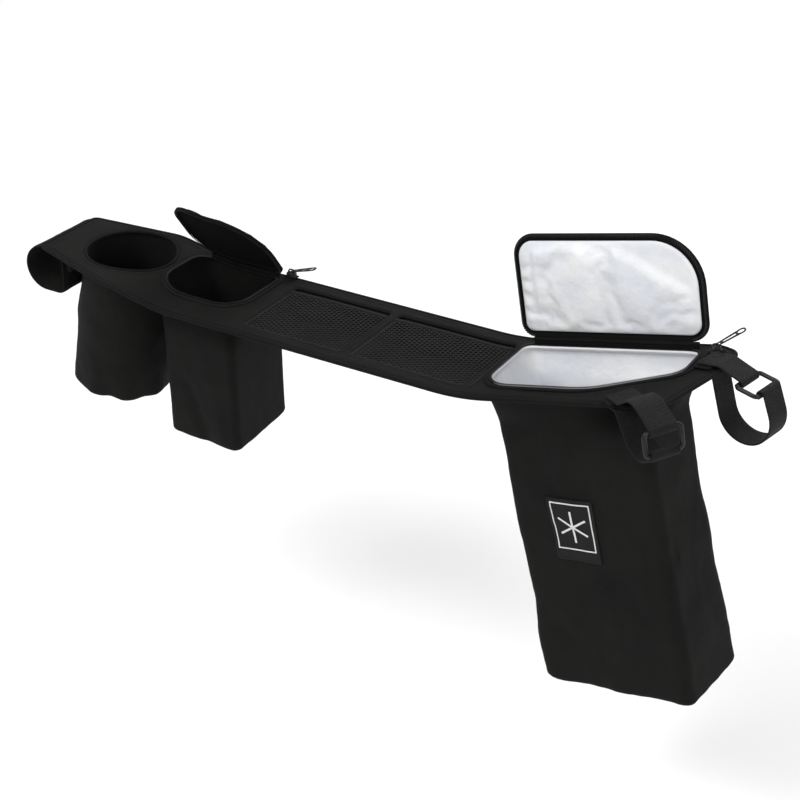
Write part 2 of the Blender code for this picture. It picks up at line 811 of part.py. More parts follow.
def make_pocket():
    centre = (POCKET_U + POCKET_LENGTH / 2.0, POCKET_MIDDLE)
    place = hanging_place(POCKET_BOX_U, POCKET_BOX_V, POCKET_LEAN, POCKET_SWING, 0.0, FLARE)
    sections = [box_corners(POCKET_BOX_LENGTH, POCKET_BOX_WIDTH, POCKET_BOX_CORNER)] * 2
    shell = bag_shell(pocket_corners(POCKET_WALL), centre, sections, POCKET_WALL, POCKET_DEPTH, place,
                      FLARE)
    add_object("pocket_body", shell, (FABRIC, 0.8))
    levels = stack()
    make_zipper_side("pocket_rim_zip", pocket_corners(), 0.0, (levels["tape"], levels["coil"]),
                     (TRIM, 0.8))
    lid = pocket_lid_corners()
    make_zipper_side("pocket_lid_zip", lid, POCKET_LID_OPEN, (levels["lid_tape"], levels["lid_coil"]),
                     (TRIM, 0.8))
    outer = plate(rounded(pocket_lid_corners(TAPE_OUTSIDE)), [], *levels["skin"], on_deck,
                  grid=STEP * 1.8)
    add_object("pocket_lid", turned(outer, lid, POCKET_LID_OPEN), (FABRIC, 0.8), hinge_frame(lid)[0])
    make_hinge("pocket_lid_hinge", lid)


def make_insulated_bag():
    centre = (BAG_U + BAG_LENGTH / 2.0, BAG_MIDDLE)
    place = bag_place()
    sections = [region_corners(*s, BAG_CORNER) for s in (BAG_SECTION_TOP, BAG_SECTION_FLOOR)]
    mouth = bag_corners(GAP + BAG_WALL + GAP)
    shell = bag_shell(mouth, centre, sections, BAG_WALL, BAG_DEPTH, place, FLARE)
    add_object("bag_body", shell, (FABRIC, 0.8))
    lining = bag_shell(mouth, centre, sections, BAG_LINING, BAG_DEPTH, place, FLARE,
                       inset=BAG_WALL + GAP)
    add_object("bag_lining", lining, (WHITE, 0.35))
    levels = stack()
    make_zipper_side("bag_rim_zip", bag_corners(), 0.0, (levels["tape"], levels["coil"]), (TRIM, 0.8))
    lid = bag_lid_corners()
    make_zipper_side("bag_lid_zip", lid, BAG_LID_OPEN, (levels["lid_tape"], levels["lid_coil"]),
                     (TRIM, 0.8))
    outer = plate(rounded(bag_lid_corners(TAPE_OUTSIDE)), [], *levels["skin"], on_deck, grid=STEP * 2.4)
    pivot = hinge_frame(lid)[0]
    add_object("bag_lid", turned(outer, lid, BAG_LID_OPEN), (FABRIC, 0.8), pivot)
    pad = plate(rounded(bag_lid_corners(-TAPE_INSIDE - RUN)), [], *levels["lining"], on_deck,
                grid=STEP * 2.4)
    add_object("bag_lid_lining", turned(pad, lid, BAG_LID_OPEN), (WHITE, 0.35), pivot)
    make_hinge("bag_lid_hinge", lid)


def bag_place():
    return hanging_place(BAG_U + BAG_LENGTH / 2.0 + BAG_SHIFT[0], BAG_MIDDLE + BAG_SHIFT[1],
                         BAG_LEAN, 0.0, BAG_TWIST, FLARE)


def make_label():
    """A woven patch on the bag's near side with a plain frame and a six-armed star."""
    place = bag_place()
    face = BAG_SECTION_FLOOR[2] - GAP

    def on_face(x, down, out):
        return place(LABEL_SIDE + x, face - out, LABEL_DEPTH + down)

    outline = rounded(box_corners(LABEL_WIDTH, LABEL_HEIGHT, 0.0012))
    add_object("label_patch", plate(outline, [], 0.0, LABEL_THICKNESS, on_face), (TRIM, 0.7))
    base = LABEL_THICKNESS + GAP
    line = 0.0011
    window = box_corners(LABEL_WIDTH * 0.86, LABEL_WIDTH * 1.02, 0.0006)
    lift = -(LABEL_HEIGHT - LABEL_WIDTH * 1.02) / 2.0 + 0.003
    outer = [(x, y + lift) for x, y in rounded(window, 0.05)]
    hole = [(x, y + lift) for x, y in rounded(grown(window, -line), 0.05)]
    frame = plate(outer, [hole], base, base + PRINT_THICKNESS, on_face)
    add_object("label_frame", frame, (WHITE, 0.6))
    star = []
    for k in range(6):
        angle = math.radians(30.0 + 60.0 * k)
        ahead = Vector((math.cos(angle), math.sin(angle)))
        side = Vector((-ahead.y, ahead.x)) * line * 0.7
        tip = ahead * LABEL_WIDTH * 0.34
        valley = Matrix.Rotation(math.radians(30.0), 2) @ ahead * line * 1.4
        star += [tip - side, tip + side, valley]
    outline = [(p.x, p.y + lift) for p in star]
    add_object("label_star", plate(outline, [], base, base + PRINT_THICKNESS, on_face), (WHITE, 0.6))


def mesh_height(window, u, v):
    """The mesh's gentle crown: nothing at its edges."""
    left, right, near, far = window
    along = math.sin(math.pi * min(1.0, max(0.0, (u - left) / (right - left))))
    across = math.sin(math.pi * min(1.0, max(0.0, (v - near) / (far - near))))
    return MESH_CROWN * along * across


def make_mesh_pockets():
    for side, window in zip(("left", "right"), mesh_windows()):
        left, right, near, far = window
        edge = far - MOUTH - ELASTIC_WIDTH - GAP
        panel = (left + GAP, right - GAP, near + GAP, edge)
        holes = []
        across_count = int((right - left - 0.006) / MESH_CELL[0])
        up_count = int((edge - near - 0.005) / MESH_CELL[1])
        start_u = (left + right - (across_count - 1) * MESH_CELL[0]) / 2.0
        start_v = (near + edge - (up_count - 1) * MESH_CELL[1]) / 2.0
        half_u = (MESH_CELL[0] - MESH_STRAND) / 2.0
        half_v = (MESH_CELL[1] - MESH_STRAND) / 2.0
        for i in range(across_count):
            for j in range(up_count):
                u, v = start_u + i * MESH_CELL[0], start_v + j * MESH_CELL[1]
                holes.append([(u - half_u, v), (u, v - half_v), (u + half_u, v), (u, v + half_v)])

        def low(u, v, window=window):
            return -MESH_THICKNESS - GAP + mesh_height(window, u, v)

        def high(u, v, window=window):
            return -GAP + mesh_height(window, u, v)

        outline = rounded(window_corners(panel, radius=0.0026), 0.012)
        add_object(f"mesh_panel_{side}", plate(outline, holes, low, high, on_deck), (TRIM, 0.8))
        band = (left + GAP, right - GAP, edge + GAP, edge + GAP + ELASTIC_WIDTH)
        outline = rounded(window_corners(band, radius=0.0008), 0.012)

        def band_low(u, v, window=window):
            return -DECK_THICKNESS + 0.0004 + mesh_height(window, u, v)

        def band_high(u, v, window=window):
            return 0.0002 + mesh_height(window, u, v)

        add_object(f"mesh_elastic_{side}", plate(outline, [], band_low, band_high, on_deck), (TRIM, 0.7))
    make_mesh_floor()


def make_mesh_floor():
    windows = mesh_windows()
    left = windows[0][0] - FLOOR_MARGIN
    right = windows[-1][1] + FLOOR_BY_BAG
    near = windows[0][2] - FLOOR_MARGIN
    far = windows[0][3] + FLOOR_MARGIN
    top = -DECK_THICKNESS - GAP

    def sag(u, v):
        along = min(1.0, max(0.0, min(u - left - FLOOR_MARGIN, right - FLOOR_BY_BAG - u) / 0.02))
        across = min(1.0, max(0.0, min(v - near - FLOOR_MARGIN, far - FLOOR_MARGIN - v) / 0.016))
        share = (along * (2.0 - along)) * (across * (2.0 - across))
        return FLOOR_SAG * share

    outline = rounded([(left, near, 0.004), (right, near, 0.004), (right, far, 0.004), (left, far, 0.004)])
    floor = plate(outline, [], lambda u, v: top - FLOOR_THICKNESS - sag(u, v), lambda u, v: top - sag(u, v),
                  on_deck, grid=STEP)
    add_object("mesh_pocket_floor", floor, (FABRIC, 0.8))


# Zipper sliders and pulls

def slider_frame(u, v, turn, h):
    """A frame at height h over the deck that points along a direction turned from its length."""
    origin, along, across, up = deck_frame(u, v, h)
    angle = math.radians(turn)
    ahead = along * math.cos(angle) + across * math.sin(angle)
    side = -along * math.sin(angle) + across * math.cos(angle)
    return origin, ahead, side, up


def make_slider(name, u, v, turn, base):
    """A slider with its arch, a pull on it that swings about the arch's bar, and its tape end."""
    frame = slider_frame(u, v, turn, base + GAP + TAPE_THICKNESS + GAP)
    length, width, height = SLIDER_LENGTH, SLIDER_WIDTH, SLIDER_HEIGHT
    arch_half, arch_wall, arch_width = 0.0030, 0.0011, 0.0020
    window = 0.0019
    body = block(frame, (length, width, height), (0.0, 0.0, height / 2.0))
    lift = height
    origin, ahead, side, up = frame

    def on_side(x, z, y):
        return origin + ahead * x + up * (lift + z) + side * (y - arch_width / 2.0)

    arch = [(-arch_half, -0.0008), (arch_half, -0.0008), (arch_half, window + arch_wall),
            (-arch_half, window + arch_wall)]
    hole = [(-arch_half + arch_wall, 0.0004), (arch_half - arch_wall, 0.0004),
            (arch_half - arch_wall, window), (-arch_half + arch_wall, window)]
    loop = plate(arch, [hole], 0.0, arch_width, on_side)
    add_object(name + "_slider", fused(body, loop), ((0.05, 0.05, 0.05), 0.4, 0.6))
    pivot = origin + up * (lift + 0.0004 + (window - 0.0004) / 2.0)
    tilt = math.radians(PULL_TILT)
    out = ahead * math.cos(tilt) + up * math.sin(tilt)
    normal = -ahead * math.sin(tilt) + up * math.cos(tilt)
    bar = 0.00045
    eye_half = arch_width / 2.0 + 0.0004
    eye_length = 0.0042

    def on_pull(x, y, z):
        return pivot + out * x + side * y + normal * (z - PULL_THICKNESS * 0.4)

    wide = PULL_WIDTH / 2.0
    tip = PULL_LENGTH
    outline = rounded([(-bar, -eye_half - 0.0009, 0.0003), (eye_length, -eye_half - 0.0009, 0.0006),
                       (tip, -wide, wide * 0.9), (tip, wide, wide * 0.9),
                       (eye_length, eye_half + 0.0009, 0.0006), (-bar, eye_half + 0.0009, 0.0003)], 0.02)
    eye = [(bar, -eye_half), (eye_length - 0.0004, -eye_half), (eye_length - 0.0004, eye_half), (bar, eye_half)]
    finger = [(tip - wide + (wide - 0.0012) * math.cos(t), (wide - 0.0012) * math.sin(t))
              for t in (2.0 * math.pi * k / 12.0 for k in range(12))]
    thin = PULL_THICKNESS * 0.8
    pull = plate(outline, [eye, finger], 0.0, thin, on_pull)
    add_object(name + "_pull", pull, ((0.02, 0.02, 0.02), 0.45), pivot)
    size = (SLIDER_LENGTH + 0.002, SLIDER_WIDTH + 0.0006, TAPE_THICKNESS)
    tail = block(slider_frame(u, v, turn, base + GAP), size, (0.0, 0.0, TAPE_THICKNESS / 2.0))
    add_object(name + "_tape_end", tail, (TRIM, 0.8))


# Straps

def arc(centre, radius, start, end, pieces):
    """Points on a circle from one angle to another, in degrees."""
    turns = [math.radians(start + (end - start) * k / pieces) for k in range(pieces + 1)]
    return [(centre[0] + radius * math.cos(t), centre[1] + radius * math.sin(t)) for t in turns]


def outer_tangent(c1, r1, c2, r2):
    """The angle, in degrees, at which a strap leaves circle 1 for circle 2, both clockwise."""
    away = Vector(c2) - Vector(c1)
    lead = math.atan2(away.y, away.x)
    return math.degrees(lead + math.acos((r1 - r2) / away.length))


def touching(point, centre, radius, side):
    """The angle, in degrees, at which a straight strap from a point touches a circle."""
    away = Vector(point) - Vector(centre)
    lead = math.atan2(away.y, away.x)
    return math.degrees(lead + side * math.acos(min(1.0, radius / away.length)))


def strap_paths(reach, bar_below, ring_angle):
    """Side view of a strap: a is outwards from the deck's edge, b is above the deck's top face."""
    bar = (reach - BAR_RADIUS - RING_WIRE, -bar_below)
    wrap = BAR_RADIUS + RUN + WEB_THICKNESS * 1.5 + GAP
    turn = math.radians(ring_angle)
    out = Vector((math.cos(turn), math.sin(turn)))
    along = Vector((-out.y, out.x))
    stand = BAR_RADIUS + RUN + WEB_THICKNESS + 2.0 * GAP + RING_WIRE
    centre = Vector(bar) + out * stand
    top = tuple(centre + along * (RING_DROP / 2.0 - RING_WIRE))
    bottom = tuple(centre - along * (RING_DROP / 2.0 - RING_WIRE))
    eye = RING_WIRE + GAP + WEB_THICKNESS / 2.0
    above = BINDING_RISE + TAB_THICKNESS + 2.0 * GAP + WEB_THICKNESS / 2.0
    start = (0.004, above)
    on = touching(start, bar, wrap, -1.0)
    off = outer_tangent(bar, wrap, top, eye)
    upper = [(-STRAP_TAIL, above), (-STRAP_TAIL / 2.0, above), start]
    if on > off:
        upper += arc(bar, wrap, on, off, 8)
    else:
        off = touching(start, top, eye, -1.0)
    upper += arc(top, eye, off, off - 235.0, 9)
    low_on = outer_tangent(bottom, eye, bar, wrap)
    under = -DECK_THICKNESS - GAP - WEB_THICKNESS / 2.0
    finish = (-0.002, under)
    low_off = touching(finish, bar, wrap, 1.0)
    lower = arc(bottom, eye, low_on + 235.0, low_on, 9)
    lower += arc(bar, wrap, low_on, low_off - 360.0 * math.ceil((low_off - low_on) / 360.0), 12)
    lower += [finish, (-STRAP_TAIL / 2.0, under), (-STRAP_TAIL, under)]
    return upper, lower, centre, along, out


def make_strap(side, anchor, turn, reach, bar_below, ring_angle):
    """Upper webbing, ring and lower webbing, sewn at an anchor (u, v) of the deck."""
    origin, along, across, up = deck_frame(*anchor)
    angle = math.radians(turn)
    width = along * math.cos(angle) + across * math.sin(angle)
    out = along * math.sin(angle) - across * math.cos(angle)
    upper, lower, centre, ring_up, ring_out = strap_paths(reach, bar_below, ring_angle)

    def put(a, b):
        return origin + out * a + up * b

    for part, line in (("upper", upper), ("lower", lower)):
        path = [put(a, b) for a, b in line]
        add_object(f"{side}_strap_{part}", ribbon(path, width, WEB_WIDTH, WEB_THICKNESS), (TRIM, 0.75))
    middle = put(*centre)
    tall = out * ring_up[0] + up * ring_up[1]
    corners = box_corners(RING_SPAN + RING_WIRE, RING_DROP - 2.0 * RING_WIRE, RING_WIRE * 1.1)
    line = [middle + width * x + tall * y for x, y in rounded(corners, 0.02)]
    face = out * ring_out[0] + up * ring_out[1]
    add_object(f"{side}_ring", rod(line, RING_WIRE, closed=True, start_up=face), (TRIM, 0.35))
    tab_frame = (origin, out, width, up)
    size = (STRAP_TAIL + 0.0005, WEB_WIDTH + 0.006, TAB_THICKNESS)
    centre = (-size[0] / 2.0 - 0.001, 0.0, BINDING_RISE + GAP + TAB_THICKNESS / 2.0)
    tab = block(tab_frame, size, centre)
    add_object(f"{side}_strap_tab", tab, (FABRIC, 0.85))


def build():
    clear_scene()
    make_deck()
    make_sleeve()
    make_cup()
    make_pocket()
    make_mesh_pockets()
    make_insulated_bag()
    make_label()
    make_slider("pocket", POCKET_U + POCKET_LENGTH + POCKET_SLIDER_PAST[0],
                POCKET_MIDDLE + POCKET_REACH / 2.0 + POCKET_SLIDER_PAST[1], 0.0, BINDING_RISE)
    make_slider("bag", BAG_U + BAG_LENGTH + BAG_SLIDER_PAST[0],
                BAG_MIDDLE + BAG_REACH / 2.0 + BAG_SLIDER_PAST[1], BAG_SLIDER_TURN, 0.0)
    half = DECK_WIDTH / 2.0
    make_strap("near", (NEAR_STRAP_U, STRAP_INSIDE - half), NEAR_STRAP_TURN, NEAR_REACH, NEAR_BAR_BELOW,
               NEAR_RING_ANGLE)
    make_strap("far", (DECK_END_FAR - STRAP_INSIDE, FAR_STRAP_V), FAR_STRAP_TURN, FAR_REACH, FAR_BAR_BELOW,
               FAR_RING_ANGLE)


build()
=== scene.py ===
"""Looks of a stroller organizer: a fabric deck with a cup, a zippered pocket, two mesh pockets,
an insulated bag and webbing straps, hung as on a handlebar.

Metres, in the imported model's frame. The deck is described by u along its length from the bar's
axis, v across it and h above its top face, and the sizes below are those of the solids.
"""
import math

import bmesh
import bpy
import numpy as np
from mathutils import Matrix, Vector, noise
from mathutils.geometry import delaunay_2d_cdt


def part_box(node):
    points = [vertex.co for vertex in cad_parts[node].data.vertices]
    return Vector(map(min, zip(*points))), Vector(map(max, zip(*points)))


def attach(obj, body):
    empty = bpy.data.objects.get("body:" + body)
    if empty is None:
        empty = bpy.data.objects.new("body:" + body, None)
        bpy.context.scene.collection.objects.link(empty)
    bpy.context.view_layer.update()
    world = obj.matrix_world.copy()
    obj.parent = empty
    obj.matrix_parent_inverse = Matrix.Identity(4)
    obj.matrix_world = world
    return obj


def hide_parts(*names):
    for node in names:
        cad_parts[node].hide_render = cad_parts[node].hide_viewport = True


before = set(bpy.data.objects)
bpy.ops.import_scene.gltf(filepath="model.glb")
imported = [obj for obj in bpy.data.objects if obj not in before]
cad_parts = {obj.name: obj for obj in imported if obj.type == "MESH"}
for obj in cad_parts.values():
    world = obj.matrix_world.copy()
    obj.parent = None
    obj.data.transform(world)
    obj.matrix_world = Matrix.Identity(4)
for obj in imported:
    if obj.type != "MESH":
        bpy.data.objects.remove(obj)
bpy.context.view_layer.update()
ROOT = "organizer"

# Sizes of the solids
GAP = 0.00035
RUN = 0.0005
BAR_RADIUS = 0.0173
DECK_WIDTH = 0.1013
DECK_THICKNESS = 0.0024
END_WIDTH = 0.066
END_SHIFT = 0.007
TAPER_LENGTH = 0.078
DECK_END_NEAR = 0.541
DECK_END_FAR = 0.560
DECK_END_CUT = 0.016
BEND_AT_CUP = (0.072, 0.092)
BEND_AT_POCKET = (0.122, 0.147)
BEND_AT_BAG = (0.372, 0.412)
SLOPE_END = -1.5
SLOPE_CUP = -12.0
SLOPE_MIDDLE = 0.0
SLOPE_BAG = 13.0
SLEEVE_THICKNESS = 0.0012
CUP_U = 0.0640
CUP_V = 0.007
CUP_HOLE_RADIUS = 0.037
CUP_WALL = 0.0016
CUP_LINING = 0.0009
CUP_DEPTH = 0.117
CUP_LEAN = -9.0
CUP_FLARE = 0.055
FLOOR_ROUNDING = 0.004
FLARE = 0.030
POCKET_U = 0.106
POCKET_LENGTH = 0.078
POCKET_MIDDLE = 0.0095
POCKET_REACH = 0.065
POCKET_WALL = 0.0014
POCKET_DEPTH = 0.123
POCKET_BOX_LENGTH = 0.067
POCKET_BOX_WIDTH = 0.0712
POCKET_BOX_U = 0.1505
POCKET_BOX_V = 0.006
POCKET_BOX_CORNER = 0.006
POCKET_LEAN = -2.0
POCKET_SWING = 5.2
POCKET_LID_OPEN = 51.0
MESH_U = 0.202
MESH_LENGTHS = (0.085, 0.098)
MESH_DIVIDER = 0.008
MESH_MIDDLE = 0.0005
MESH_REACH = 0.0735
MOUTH = 0.0055
ELASTIC_WIDTH = 0.0042
FLOOR_SAG = 0.015
FLOOR_MARGIN = 0.006
FLOOR_BY_BAG = 0.0022
FLOOR_THICKNESS = 0.0012
BAG_U = 0.398
BAG_LENGTH = 0.141
BAG_MIDDLE = 0.0025
BAG_REACH = 0.074
BAG_WALL = 0.0014
BAG_LINING = 0.0026
BAG_DEPTH = 0.239
BAG_SHIFT = (-0.0039, 0.001)
BAG_LEAN = 14.0
BAG_TWIST = -7.0
BAG_LID_OPEN = 95.0
BAG_SECTION_TOP = (-0.0600, 0.0635, -0.036, 0.027)
BAG_SECTION_FLOOR = (-0.0615, 0.0655, -0.036, 0.0365)
BAG_CORNER = 0.008
TAPE_THICKNESS = 0.0007
TAPE_INSIDE = 0.0014
TAPE_OUTSIDE = 0.0030
COIL_RADIUS = 0.0006
LID_BACK = 0.00335
LID_SKIN = 0.0012
LID_LINING = 0.0026
HINGE_RADIUS = 0.0011
SLIDER_LENGTH = 0.0085
SLIDER_WIDTH = 0.0064
SLIDER_HEIGHT = 0.0026
PULL_LENGTH = 0.024
PULL_WIDTH = 0.0075
PULL_TILT = 18.0
BINDING_RISE = 0.0008
LABEL_WIDTH = 0.037
LABEL_HEIGHT = 0.050
LABEL_SIDE = -0.0077
LABEL_DEPTH = 0.1067
WEB_WIDTH = 0.020
WEB_THICKNESS = 0.0014
RING_WIRE = 0.0017
RING_SPAN = 0.0245
RING_DROP = 0.0205
STRAP_TAIL = 0.013
TAB_THICKNESS = 0.0012
SEAM_RISE = 0.0012
LINING_RISE = 0.0033
LINING_INWARD = 0.0021
TOOTH_WIRE = 0.00036
TOOTH_REACH = 0.0010
TOOTH_PITCH = 0.0017
MESH_CELL = 0.0037
STRAND_RADIUS = 0.00034
BINDING_RADIUS = 0.0017
PIPING_RADIUS = 0.0012
LABEL_LINE = 0.0011
PRINT_THICKNESS = 0.0003
PATCH_THICKNESS = 0.0007
NEAR_STRAP = {"u": 0.5190, "v": -DECK_WIDTH / 2.0 + 0.002, "turn": 50.0, "reach": 0.0435,
              "below": 0.0090, "ring": -4.0}
FAR_STRAP = {"u": DECK_END_FAR - 0.002, "v": 0.0180, "turn": 75.5, "reach": 0.0392,
             "below": 0.0308, "ring": 71.5}

# The photograph's view
CAMERA_PLACE = (0.8671, -0.9631, 0.5705)
CAMERA_YAW = 29.8
CAMERA_PITCH = 28.9
CAMERA_ROLL = -0.8
CAMERA_LENS = 76.5
FLOOR_HEIGHT = -0.335


# The deck's curve

def deck_curve(u):
    """X, Z and slope of the deck's top face at u."""
    slopes = [math.radians(s) for s in (SLOPE_END, SLOPE_CUP, SLOPE_MIDDLE, SLOPE_BAG)]
    parts = []
    start = 0.0
    for index, (low, high) in enumerate((BEND_AT_CUP, BEND_AT_POCKET, BEND_AT_BAG)):
        parts.append((start, low, slopes[index], slopes[index]))
        parts.append((low, high, slopes[index], slopes[index + 1]))
        start = high
    parts.append((start, 10.0, slopes[-1], slopes[-1]))
    x = 0.0
    z = BAR_RADIUS + RUN + DECK_THICKNESS
    for begin, end, before, after in parts:
        stop = min(u, end)
        turn = (after - before) / (end - begin)
        slope = before + turn * (stop - begin)
        if abs(turn) < 1e-9:
            x += math.cos(before) * (stop - begin)
            z += math.sin(before) * (stop - begin)
        else:
            x += (math.sin(slope) - math.sin(before)) / turn
            z += (math.cos(before) - math.cos(slope)) / turn
        if u <= end:
            break
    return x, z, slope


def on_deck(u, v, h):
    x, z, slope = deck_curve(u)
    return Vector((x - h * math.sin(slope), v, z + h * math.cos(slope)))


def deck_line(line, h, move=Matrix.Identity(4)):
    """Points and directions up along a line on the deck, moved with a lid."""
    turn = move.to_3x3()
    heights = h if callable(h) else lambda u, v: h
    return ([move @ on_deck(u, v, heights(u, v)) for u, v in line],
            [turn @ deck_frame(u)[3] for u, v in line])


def closed(line):
    return line + line[:1]


def deck_frame(u, v=0.0, h=0.0):
    """Point on the deck with its along, across and up directions."""
    slope = deck_curve(u)[2]
    along = Vector((math.cos(slope), 0.0, math.sin(slope)))
    up = Vector((-math.sin(slope), 0.0, math.cos(slope)))
    return on_deck(u, v, h), along, Vector((0.0, 1.0, 0.0)), up


# Outlines

def grown(corners, by):
    """A convex outline of (u, v, radius) corners, anticlockwise, moved outwards by a distance."""
    made = []
    count = len(corners)
    for i in range(count):
        here = Vector(corners[i][:2])
        before = (here - Vector(corners[i - 1][:2])).normalized()
        after = (Vector(corners[(i + 1) % count][:2]) - here).normalized()
        out_before = Vector((before.y, -before.x))
        out_after = Vector((after.y, -after.x))
        moved = here + (out_before + out_after) / (1.0 + out_before.dot(out_after)) * by
        made.append((moved.x, moved.y, max(corners[i][2] + by, 0.0004)))
    return made


def rounded(corners, step=0.002, turn_step=7.0):
    """Points of an outline with rounded corners, its long sides divided."""
    made = []
    count = len(corners)
    for i in range(count):
        here = Vector(corners[i][:2])
        radius = corners[i][2]
        before = (Vector(corners[i - 1][:2]) - here).normalized()
        after = (Vector(corners[(i + 1) % count][:2]) - here).normalized()
        half = before.angle(after) / 2.0
        centre = here + (before + after).normalized() * (radius / math.sin(half))
        first = here + before * (radius / math.tan(half)) - centre
        turn = math.pi - 2.0 * half
        if after.x * before.y - after.y * before.x < 0.0:
            turn = -turn
        pieces = max(2, round(abs(math.degrees(turn)) / turn_step))
        for k in range(pieces + 1):
            made.append(tuple(centre + Matrix.Rotation(turn * k / pieces, 2) @ first))
    return divided(made, step)


def divided(points, step, closed=True):
    made = []
    last = len(points) if closed else len(points) - 1
    for i in range(last):
        here, after = points[i], points[(i + 1) % len(points)]
        length = math.dist(here, after)
        if length < 1e-6:
            continue
        pieces = max(1, math.ceil(length / step))
        for k in range(pieces):
            share = k / pieces
            made.append(tuple(a + (b - a) * share for a, b in zip(here, after)))
    if not closed:
        made.append(tuple(points[-1]))
    return made


def polar(points, centre, count):
    """The outline read off at equal angles round a centre, as offsets from it."""
    line = np.array(points) - np.array(centre)
    after = np.roll(line, -1, axis=0)
    side = after - line
    made = []
    for k in range(count):
        angle = 2.0 * math.pi * k / count
        ray = (math.cos(angle), math.sin(angle))
        cross = ray[0] * side[:, 1] - ray[1] * side[:, 0]
        cross = np.where(np.abs(cross) < 1e-15, 1e-15, cross)
        distance = (line[:, 0] * side[:, 1] - line[:, 1] * side[:, 0]) / cross
        share = (line[:, 0] * ray[1] - line[:, 1] * ray[0]) / cross
        good = (distance > 0.0) & (share >= -1e-9) & (share <= 1.0 + 1e-9)
        best = float(distance[good].max())
        made.append((ray[0] * best, ray[1] * best))
    return made


def region_corners(left, right, near, far, radius):
    return [(left, near, radius), (right, near, radius), (right, far, radius), (left, far, radius)]


def box_corners(length, width, radius):
    a, b = length / 2.0, width / 2.0
    return region_corners(-a, a, -b, b, radius)


def inside_many(points, outline):
    x, y = points[:, 0], points[:, 1]
    hit = np.zeros(len(points), bool)
    line = np.array(outline)
    for (ax, ay), (bx, by) in zip(line, np.roll(line, 1, axis=0)):
        if ay == by:
            continue
        crosses = (ay > y) != (by > y)
        hit ^= crosses & (x < (bx - ax) * (y - ay) / (by - ay) + ax)
    return hit


def circle(centre, radius, count=96):
    turns = [2.0 * math.pi * k / count for k in range(count)]
    return [(centre[0] + radius * math.cos(t), centre[1] + radius * math.sin(t)) for t in turns]


def sides(middle, reach, back=0.0):
    return middle - reach / 2.0, middle + reach / 2.0 - back


def pocket_corners(by=0.0):
    near, far = sides(POCKET_MIDDLE, POCKET_REACH)
    left, right = POCKET_U, POCKET_U + POCKET_LENGTH
    return grown([(left, near, 0.025), (right, near, 0.024), (right, far, 0.005), (left, far, 0.017)], by)


def pocket_lid_corners(by=0.0):
    near, far = sides(POCKET_MIDDLE, POCKET_REACH, LID_BACK)
    left, right = POCKET_U - 0.003, POCKET_U + POCKET_LENGTH
    return grown([(left, near, 0.024), (right, near, 0.038), (right, far, 0.005), (left, far, 0.017)], by)


def bag_corners(by=0.0):
    near, far = sides(BAG_MIDDLE, BAG_REACH)
    left, right = BAG_U, BAG_U + BAG_LENGTH
    return grown([(left, near, 0.022), (right - 0.058, near, 0.050), (right, near + 0.034, 0.022),
                  (right, far, 0.011), (left, far, 0.008)], by)


def bag_lid_corners(by=0.0):
    near, far = sides(BAG_MIDDLE, BAG_REACH, LID_BACK)
    left, right = BAG_U + 0.002, BAG_U + BAG_LENGTH
    return grown([(left, near, 0.014), (right, near, 0.034), (right, far, 0.011), (left, far, 0.008)], by)


def mesh_windows():
    made = []
    start = MESH_U
    for length in MESH_LENGTHS:
        made.append((start, start + length, *sides(MESH_MIDDLE, MESH_REACH)))
        start += length + MESH_DIVIDER
    return made


def window_corners(window, by=0.0, radius=0.003):
    return grown(region_corners(*window, radius), by)


def deck_corners(by=0.0):
    half = DECK_WIDTH / 2.0
    end = END_WIDTH / 2.0
    return grown([(0.0, END_SHIFT - end, 0.004), (TAPER_LENGTH, -half, 0.040),
                  (DECK_END_NEAR, -half, 0.006), (DECK_END_FAR, FAR_STRAP["v"] - WEB_WIDTH * 0.2, 0.012),
                  (DECK_END_FAR, half - 0.010, 0.012), (DECK_END_FAR - DECK_END_CUT, half, 0.020),
                  (TAPER_LENGTH, half, 0.060), (0.0, END_SHIFT + end, 0.004)], by)


def stack():
    """Heights above the deck of a closed zipper's layers."""
    tape = (GAP, GAP + TAPE_THICKNESS)
    coil = tape[1] + GAP + COIL_RADIUS
    lid_coil = coil + 2.0 * COIL_RADIUS + GAP
    lid_tape = (lid_coil + COIL_RADIUS + GAP, lid_coil + COIL_RADIUS + GAP + TAPE_THICKNESS)
    lining = (lid_tape[1] - LID_LINING, lid_tape[1])
    skin = (lid_tape[1] + GAP, lid_tape[1] + GAP + LID_SKIN)
    return {"tape": tape, "coil": coil, "lid_coil": lid_coil, "lid_tape": lid_tape,
            "lining": lining, "skin": skin}


def hinge_line(corners):
    far = max(c[1] for c in corners)
    ends = [c for c in corners if abs(c[1] - far) < 1e-6]
    left = min(ends, key=lambda c: c[0])
    right = max(ends, key=lambda c: c[0])
    return left[0] + left[2] * 0.8, right[0] - right[2] * 0.5, far + TAPE_OUTSIDE + HINGE_RADIUS + GAP


def hinge_frame(corners):
    left, right, v = hinge_line(corners)
    rise = sum(stack()["lid_tape"]) / 2.0
    a = on_deck(left, v, rise)
    b = on_deck(right, v, rise)
    return a, b, (b - a).normalized()


def swing(corners, degrees):
    """The move that opens a lid about its hinge."""
    a, _, axis = hinge_frame(corners)
    turn = Matrix.Translation(a) @ Matrix.Rotation(-math.radians(degrees), 4, axis)
    return turn @ Matrix.Translation(-a)


# Materials

def node_tree(name, colour, roughness, gloss, metallic=0.0):
    made = bpy.data.materials.new(name)
    made.use_nodes = True
    tree = made.node_tree
    shader = tree.nodes["Principled BSDF"]
    shader.inputs["Base Color"].default_value = (*colour, 1.0)
    shader.inputs["Roughness"].default_value = roughness
    shader.inputs["Metallic"].default_value = metallic
    shader.inputs["Specular IOR Level"].default_value = gloss
    return made, tree, shader


